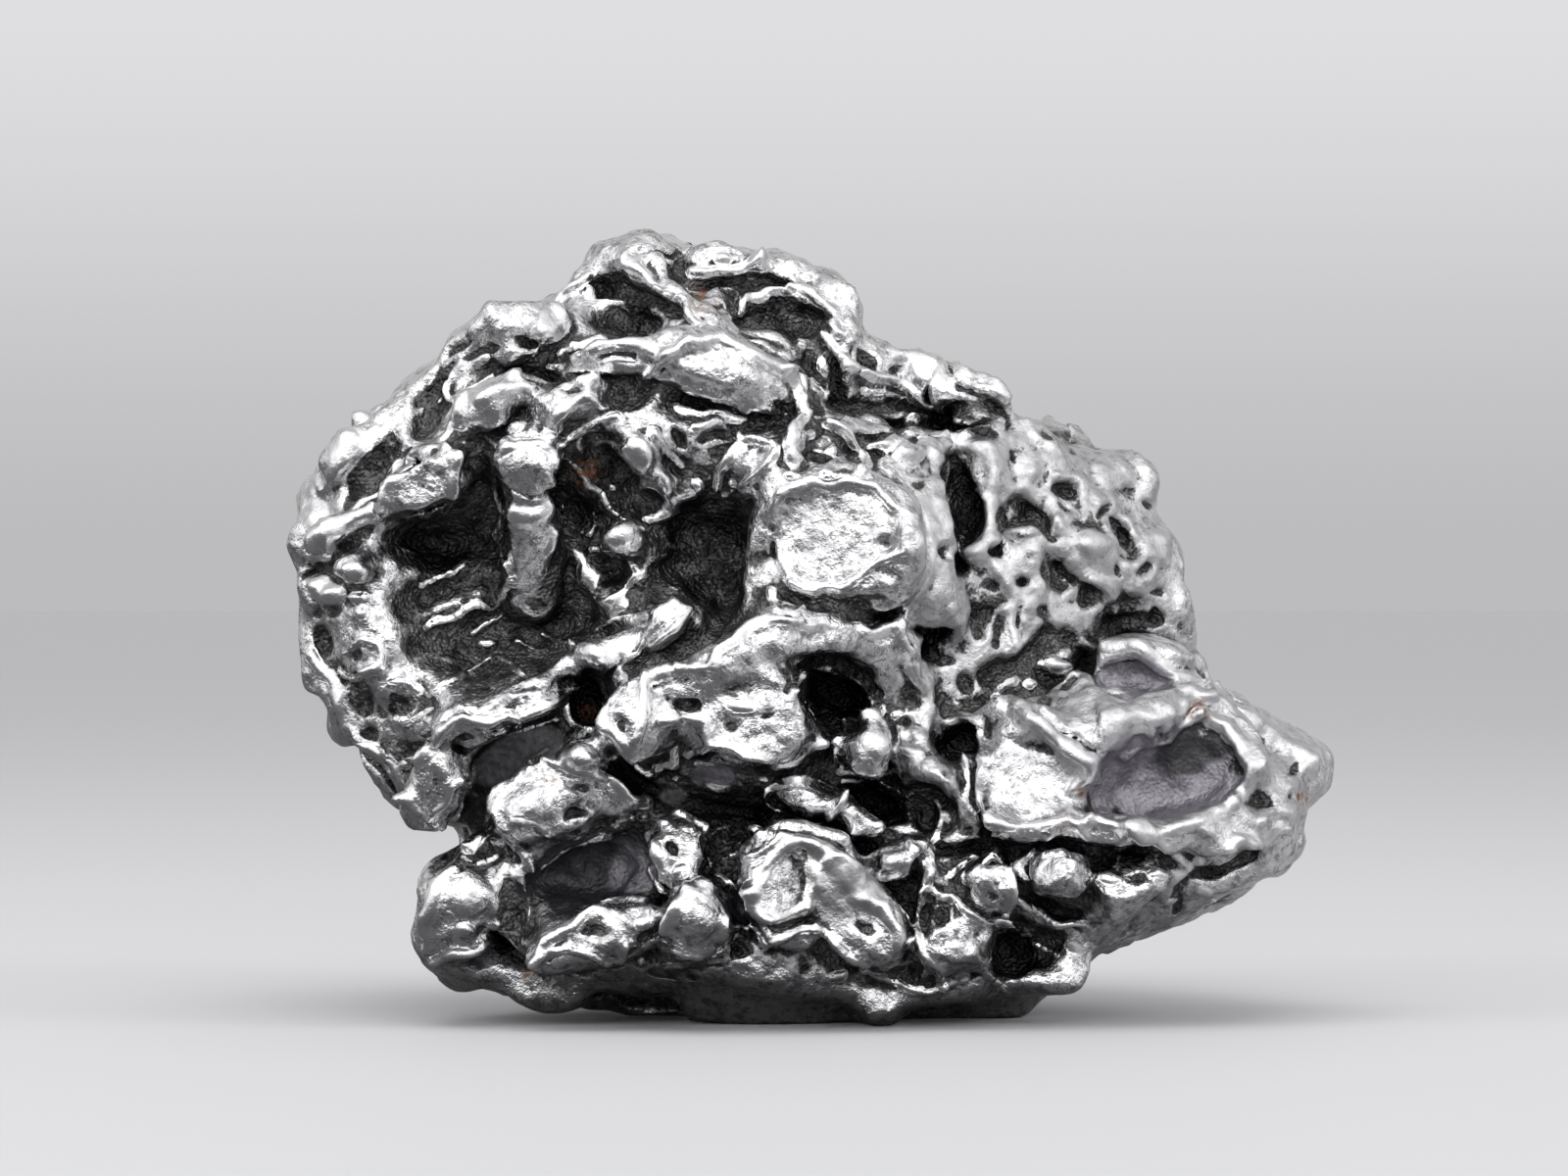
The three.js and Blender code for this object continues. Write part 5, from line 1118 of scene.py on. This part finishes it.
class Graph:
    """Short ways to add and join nodes."""

    def __init__(self, tree):
        self.tree = tree
        self.tree.nodes.clear()

    def node(self, kind, inputs=None, **settings):
        made = self.tree.nodes.new(kind)
        for name, value in settings.items():
            setattr(made, name, value)
        for key, value in (inputs or {}).items():
            self.feed(made.inputs[key], value)
        return made

    def feed(self, socket, value):
        if isinstance(value, bpy.types.NodeSocket):
            self.tree.links.new(value, socket)
        else:
            socket.default_value = value

    def layer(self, name):
        """A value that the polish operator left on the mesh."""
        return self.node("ShaderNodeAttribute", attribute_name=name).outputs["Fac"]

    def math(self, operation, *values, clamp=False):
        made = self.node("ShaderNodeMath", operation=operation, use_clamp=clamp)
        for i, value in enumerate(values):
            self.feed(made.inputs[i], value)
        return made.outputs[0]

    def ramp(self, value, low, high, out_low=0.0, out_high=1.0):
        made = self.node("ShaderNodeMapRange", interpolation_type="SMOOTHSTEP")
        for key, v in (
            ("Value", value),
            ("From Min", low),
            ("From Max", high),
            ("To Min", out_low),
            ("To Max", out_high),
        ):
            self.feed(made.inputs[key], v)
        return made.outputs["Result"]

    def mix(self, share, a, b):
        made = self.node("ShaderNodeMix", data_type="RGBA")
        self.feed(made.inputs["Factor"], share)
        self.feed(made.inputs[6], a)
        self.feed(made.inputs[7], b)
        return made.outputs[2]

    def noise(self, place, scale, detail=2.0, rough=0.5):
        made = self.node("ShaderNodeTexNoise", {"Vector": place, "Scale": scale, "Detail": detail, "Roughness": rough})
        return made.outputs["Fac"]

    def cells(self, place, scale, feature="F1", output="Distance"):
        made = self.node("ShaderNodeTexVoronoi", {"Vector": place, "Scale": scale}, feature=feature)
        return made.outputs[output]


def rgba(colour):
    return (*colour, 1.0)


def new_group(name, inputs, outputs):
    tree = bpy.data.node_groups.new(name, "ShaderNodeTree")
    for side, rows in (("INPUT", inputs), ("OUTPUT", outputs)):
        for label, kind in rows:
            tree.interface.new_socket(name=label, in_out=side, socket_type="NodeSocket" + kind)
    graph = Graph(tree)
    return tree, graph, graph.node("NodeGroupInput"), graph.node("NodeGroupOutput")


def grain_group():
    """Oxide grains and their glints, from a place in millimetres."""
    tree, g, given, out = new_group(
        "Oxide Grain",
        [("Place", "Vector")],
        [("Height", "Float"), ("Glint", "Float"), ("Shade", "Float")],
    )
    place = given.outputs["Place"]
    coarse = g.noise(place, 3.2, 3.0, 0.6)
    grains = g.cells(place, 6.0, "SMOOTH_F1")
    height = g.math("MULTIPLY_ADD", grains, -0.7, coarse)
    flecks = g.noise(place, 3.4, 6.0, 0.75)
    g.feed(out.inputs["Height"], height)
    g.feed(out.inputs["Glint"], g.ramp(flecks, 0.56, 0.68))
    g.feed(out.inputs["Shade"], g.ramp(g.noise(place, 1.3, 3.0), 0.35, 0.65))
    return tree


def polish_group():
    """Fine pits, crumpled relief, haze and mottle of polished iron, from a place in millimetres."""
    tree, g, given, out = new_group(
        "Polished Surface",
        [("Place", "Vector")],
        [("Height", "Float"), ("Haze", "Float"), ("Mottle", "Float")],
    )
    place = given.outputs["Place"]
    pits = g.ramp(g.cells(place, 3.1), 0.05, 0.2, 1.0, 0.0)
    crumpled = g.noise(place, 1.9, 4.0, 0.62)
    height = g.math("MULTIPLY_ADD", pits, -0.12, crumpled)
    g.feed(out.inputs["Height"], height)
    g.feed(out.inputs["Haze"], g.ramp(g.noise(place, 1.1, 4.0, 0.6), 0.35, 0.7))
    mottle = g.noise(place, 2.4, 5.0, 0.7)
    g.feed(out.inputs["Mottle"], g.ramp(mottle, 0.4, 0.5, 1.0, 0.0))
    return tree


# Fixed colours of the skin, beside the ones in the panel. The third one, near black, is painted shade for the deepest
# hollows.
SHADED_OXIDE, GLINT, PAINTED_HOLLOW_SHADE = (0.02, 0.02, 0.02, 1), (0.3, 0.3, 0.3, 1), (0.008, 0.008, 0.008, 1)
HAZY_IRON, SATIN_IRON, MOTTLED_IRON = (0.6, 0.6, 0.615, 1), (0.42, 0.42, 0.43, 1), (0.16, 0.16, 0.168, 1)
DARK_COAT, PALE_COAT = (0.03, 0.03, 0.033, 1), (0.36, 0.345, 0.38, 1)
DARK_CLAY, PALE_CLAY = (0.08, 0.08, 0.083, 1), (0.24, 0.242, 0.25, 1)
BLACK = (0, 0, 0, 1)


def iron_material(colours):
    """Oxide in the hollows with painted shade in the deepest, iron on the high places, then rust, the soft coat and
    the filling over them.
    """
    material = bpy.data.materials.new("polished_iron")
    material.use_nodes = True
    g = Graph(material.node_tree)
    place = g.node("ShaderNodeTexCoord").outputs["Object"]
    millimetres = g.node("ShaderNodeVectorMath", {0: place, "Scale": 1 / MM}, operation="SCALE").outputs[0]
    grain = g.node("ShaderNodeGroup", node_tree=grain_group())
    surface = g.node("ShaderNodeGroup", node_tree=polish_group())
    g.feed(grain.inputs["Place"], millimetres)
    g.feed(surface.inputs["Place"], millimetres)

    polish = g.layer("polish")
    rust = g.layer("rust")
    filling = g.layer("filling")
    ragged = g.math("MULTIPLY_ADD", g.noise(millimetres, 2.2, 4.0, 0.65), 0.64, -0.32)
    fine = g.math("SUBTRACT", g.noise(millimetres, 5.0, 5.0, 0.7), 0.5)
    satin = g.layer("satin")
    ragged = g.math("MULTIPLY_ADD", fine, g.math("MULTIPLY_ADD", satin, 1.3, 0.6), ragged)
    level = g.math("ADD", polish, ragged)
    bright = g.ramp(level, g.math("MULTIPLY_ADD", satin, -0.12, 0.22), g.math("MULTIPLY_ADD", satin, 0.15, 0.62))

    oxide = g.mix(grain.outputs["Shade"], rgba(colours.oxide), SHADED_OXIDE)
    oxide = g.mix(grain.outputs["Glint"], oxide, GLINT)
    clear = g.layer("clear")
    # Painted shade: the oxide goes to near black, without its glints, where the openness is low in deep, shut-in
    # hollows.
    oxide = g.mix(g.ramp(clear, 0.15, 0.6), PAINTED_HOLLOW_SHADE, oxide)
    iron = g.mix(surface.outputs["Haze"], rgba(colours.iron), HAZY_IRON)
    worked = g.layer("worked")
    plate = g.math("MULTIPLY", g.ramp(worked, 0.15, 0.6, 1.0, 0.0), g.math("MULTIPLY_ADD", satin, -0.6, 1.0))
    iron = g.mix(g.math("MULTIPLY", satin, 0.5), iron, SATIN_IRON)
    mottle = g.math("MULTIPLY", surface.outputs["Mottle"], g.math("MULTIPLY", plate, 0.65))
    mottle = g.math("MAXIMUM", mottle, g.math("MULTIPLY", surface.outputs["Mottle"], g.math("MULTIPLY", satin, 0.3)))
    iron = g.mix(mottle, iron, MOTTLED_IRON)
    colour = g.mix(bright, oxide, iron)
    stain = g.math("MULTIPLY", rust, g.ramp(g.noise(millimetres, 3.0, 4.0), 0.42, 0.6))
    colour = g.mix(stain, colour, rgba(colours.rust))
    bloom = g.layer("bloom")
    coated = g.math("MULTIPLY", g.ramp(bloom, 0.05, 0.35), g.ramp(level, 1.1, 0.6))
    tone = g.layer("tone")
    coat = g.mix(g.ramp(tone, 0.0, 1.0), DARK_COAT, PALE_COAT)
    coat = g.mix(g.ramp(g.noise(millimetres, 1.6, 4.0, 0.65), 0.3, 0.7), g.mix(0.45, coat, BLACK), coat)
    colour = g.mix(coated, colour, coat)
    clay = g.mix(g.ramp(g.noise(millimetres, 2.6, 4.0, 0.7), 0.3, 0.7), DARK_CLAY, PALE_CLAY)
    colour = g.mix(filling, colour, clay)

    rough_iron = g.math("MULTIPLY_ADD", surface.outputs["Haze"], 0.12, 0.19)
    rough_iron = g.math("MULTIPLY_ADD", satin, 0.24, rough_iron)
    rough_oxide = g.math("MULTIPLY_ADD", grain.outputs["Shade"], 0.16, 0.28)
    roughness = g.ramp(bright, 0.0, 1.0, rough_oxide, rough_iron)
    roughness = g.ramp(coated, 0.0, 1.0, roughness, 0.5)
    roughness = g.math("MAXIMUM", roughness, g.math("MULTIPLY", g.math("MAXIMUM", stain, filling), 0.75))
    metal = g.ramp(bright, 0.0, 1.0, 0.7, 1.0)
    metal = g.math("MULTIPLY", metal, g.math("SUBTRACT", 1.0, g.math("MAXIMUM", stain, filling), clamp=True))

    oxide_height = g.math("MULTIPLY", grain.outputs["Height"], 0.22)
    iron_height = g.math("MULTIPLY", surface.outputs["Height"], g.math("MULTIPLY_ADD", plate, 0.09, 0.06))
    height = g.ramp(bright, 0.0, 1.0, oxide_height, iron_height)
    height = g.math("MULTIPLY", height, g.math("MULTIPLY_ADD", coated, -0.7, 1.0))
    height = g.ramp(filling, 0.0, 1.0, height, g.math("MULTIPLY", g.noise(millimetres, 4.0, 4.0, 0.7), 0.25))
    bump = g.node("ShaderNodeBump", {"Height": height, "Distance": MM, "Strength": 1.0})
    shader = g.node(
        "ShaderNodeBsdfPrincipled",
        {"Base Color": colour, "Roughness": roughness, "Metallic": metal, "Normal": bump.outputs[0]},
    )
    g.node("ShaderNodeOutputMaterial", {"Surface": shader.outputs[0]})
    return material


def floor_material(colours):
    material = bpy.data.materials.new("pale_floor")
    material.use_nodes = True
    g = Graph(material.node_tree)
    glossy = g.node("ShaderNodeLightPath").outputs["Is Glossy Ray"]
    across = g.node("ShaderNodeSeparateXYZ", {0: g.node("ShaderNodeTexCoord").outputs["Object"]}).outputs["X"]
    # Painted reflection: only for glossy rays is the floor darkened, by 0.84 where X is under 4 mm and by 0.35 past 30
    # mm, so the metal's undersides reflect a dark floor while the camera sees it pale.
    painted_dark_reflection = g.math("MULTIPLY", glossy, g.ramp(across, 0.004, 0.03, 0.84, 0.35))
    colour = g.mix(painted_dark_reflection, rgba(colours.floor), BLACK)
    shader = g.node("ShaderNodeBsdfPrincipled", {"Base Color": colour, "Roughness": 0.7})
    shader.inputs["Specular IOR Level"].default_value = 0.2
    g.node("ShaderNodeOutputMaterial", {"Surface": shader.outputs[0]})
    return material


# The stage.

# Soft lights: name, place and aimed point in millimetres, size, watts.
LIGHTS = [
    ("top", (-20, -80, 330), (0, 0, 15), (260, 190), 0.42),
    ("left", (-300, -130, 150), (0, 0, 18), (100, 220), 0.3),
    ("right", (300, -110, 170), (0, 0, 18), (100, 220), 0.25),
]

# What shiny surfaces see of the pale room: direction, share of the way round where it starts and is full, strength.
GLOWS = [
    ((-0.1, -0.45, 0.9), 0.5, 0.98, 1.35),
    ((-0.95, -0.3, 0.25), 0.55, 0.98, 1.25),
    ((0.95, -0.25, 0.3), 0.6, 0.98, 1.05),
    ((0.1, -0.85, 0.4), 0.7, 0.99, 1.35),
    ((0.0, 0.95, 0.25), 0.2, 0.95, 0.55),
]


def pale_world():
    world = bpy.data.worlds.new("pale_room")
    world.use_nodes = True
    g = Graph(world.node_tree)
    glossy = g.node("ShaderNodeLightPath").outputs["Is Glossy Ray"]
    direction = g.node("ShaderNodeTexCoord").outputs["Generated"]
    up = g.node("ShaderNodeSeparateXYZ", {"Vector": direction}).outputs["Z"]
    seen = g.ramp(up, -0.4, 0.6, 0.015, 0.12)
    for way, low, high, strength in GLOWS:
        way = tuple(Vector(way).normalized())
        along = g.node("ShaderNodeVectorMath", {0: direction, 1: way}, operation="DOT_PRODUCT").outputs["Value"]
        seen = g.math("ADD", seen, g.ramp(along, low, high, 0.0, strength))
    seen = g.node("ShaderNodeCombineColor", {"Red": seen, "Green": seen, "Blue": seen}).outputs[0]
    sweep = g.mix(g.ramp(up, 0.0, 0.12), (0.5, 0.5, 0.51, 1), (0.74, 0.74, 0.755, 1))
    colour = g.mix(glossy, sweep, seen)
    shade = g.node("ShaderNodeBackground", {"Color": colour, "Strength": 1.0})
    g.node("ShaderNodeOutputWorld", {"Surface": shade.outputs[0]})
    return world


class OBJECT_OT_meteorite_stage(bpy.types.Operator):
    """Makes the camera, the soft lights and the pale floor"""

    bl_idname = "object.meteorite_stage"
    bl_label = "Meteorite Stage"

    def execute(self, context):
        scene = context.scene
        bpy.ops.object.select_all(action="DESELECT")
        bpy.ops.object.camera_add(location=EYE * MM, rotation=(math.pi / 2, 0, 0))
        camera = context.object
        camera.name = "camera"
        camera.data.sensor_width = 36
        camera.data.lens = 36 * -EYE[1] / PICTURE_WIDTH
        camera.data.clip_start = 0.01
        scene.camera = camera
        for name, place, aim, size, watts in LIGHTS:
            bpy.ops.object.light_add(type="AREA", location=Vector(place) * MM)
            light = context.object
            light.name = "light_" + name
            light.rotation_euler = (Vector(aim) - Vector(place)).to_track_quat("-Z", "Y").to_euler()
            light.data.shape = "RECTANGLE"
            light.data.size, light.data.size_y = size[0] * MM, size[1] * MM
            light.data.energy = watts
            light.visible_camera = False
            light.visible_glossy = False
        scene.world = pale_world()
        bpy.ops.mesh.primitive_circle_add(vertices=96, radius=4, fill_type="NGON", location=(0, 0, 0))
        floor = context.object
        floor.name = "floor"
        floor.data.materials.append(floor_material(scene.meteorite_colours))
        scene.view_settings.view_transform = "Standard"
        scene.view_settings.look = "None"
        return {"FINISHED"}


class VIEW3D_PT_meteorite(bpy.types.Panel):
    bl_label = "Iron Meteorite"
    bl_idname = "VIEW3D_PT_meteorite"
    bl_space_type = "VIEW_3D"
    bl_region_type = "UI"
    bl_category = "Meteorite"

    def draw(self, context):
        scene = context.scene
        for group in (scene.meteorite_sizes, scene.meteorite_colours):
            for name in group.bl_rna.properties.keys():
                if name not in ("rna_type", "name"):
                    self.layout.prop(group, name)
        for operator in OPERATORS:
            self.layout.operator(operator.bl_idname)


OPERATORS = (
    OBJECT_OT_meteorite_body,
    OBJECT_OT_meteorite_relief,
    OBJECT_OT_meteorite_polish,
    OBJECT_OT_meteorite_stage,
)
CLASSES = (MeteoriteSizes, MeteoriteColours, *OPERATORS, VIEW3D_PT_meteorite)


def register():
    for c in CLASSES:
        bpy.utils.register_class(c)
    bpy.types.Scene.meteorite_sizes = bpy.props.PointerProperty(type=MeteoriteSizes)
    bpy.types.Scene.meteorite_colours = bpy.props.PointerProperty(type=MeteoriteColours)


def unregister():
    del bpy.types.Scene.meteorite_colours
    del bpy.types.Scene.meteorite_sizes
    for c in reversed(CLASSES):
        bpy.utils.unregister_class(c)


def main():
    register()
    bpy.ops.object.meteorite_stage()
    bpy.ops.object.meteorite_body()
    bpy.ops.object.meteorite_relief()
    bpy.ops.object.meteorite_polish()


if __name__ == "__main__":
    main()
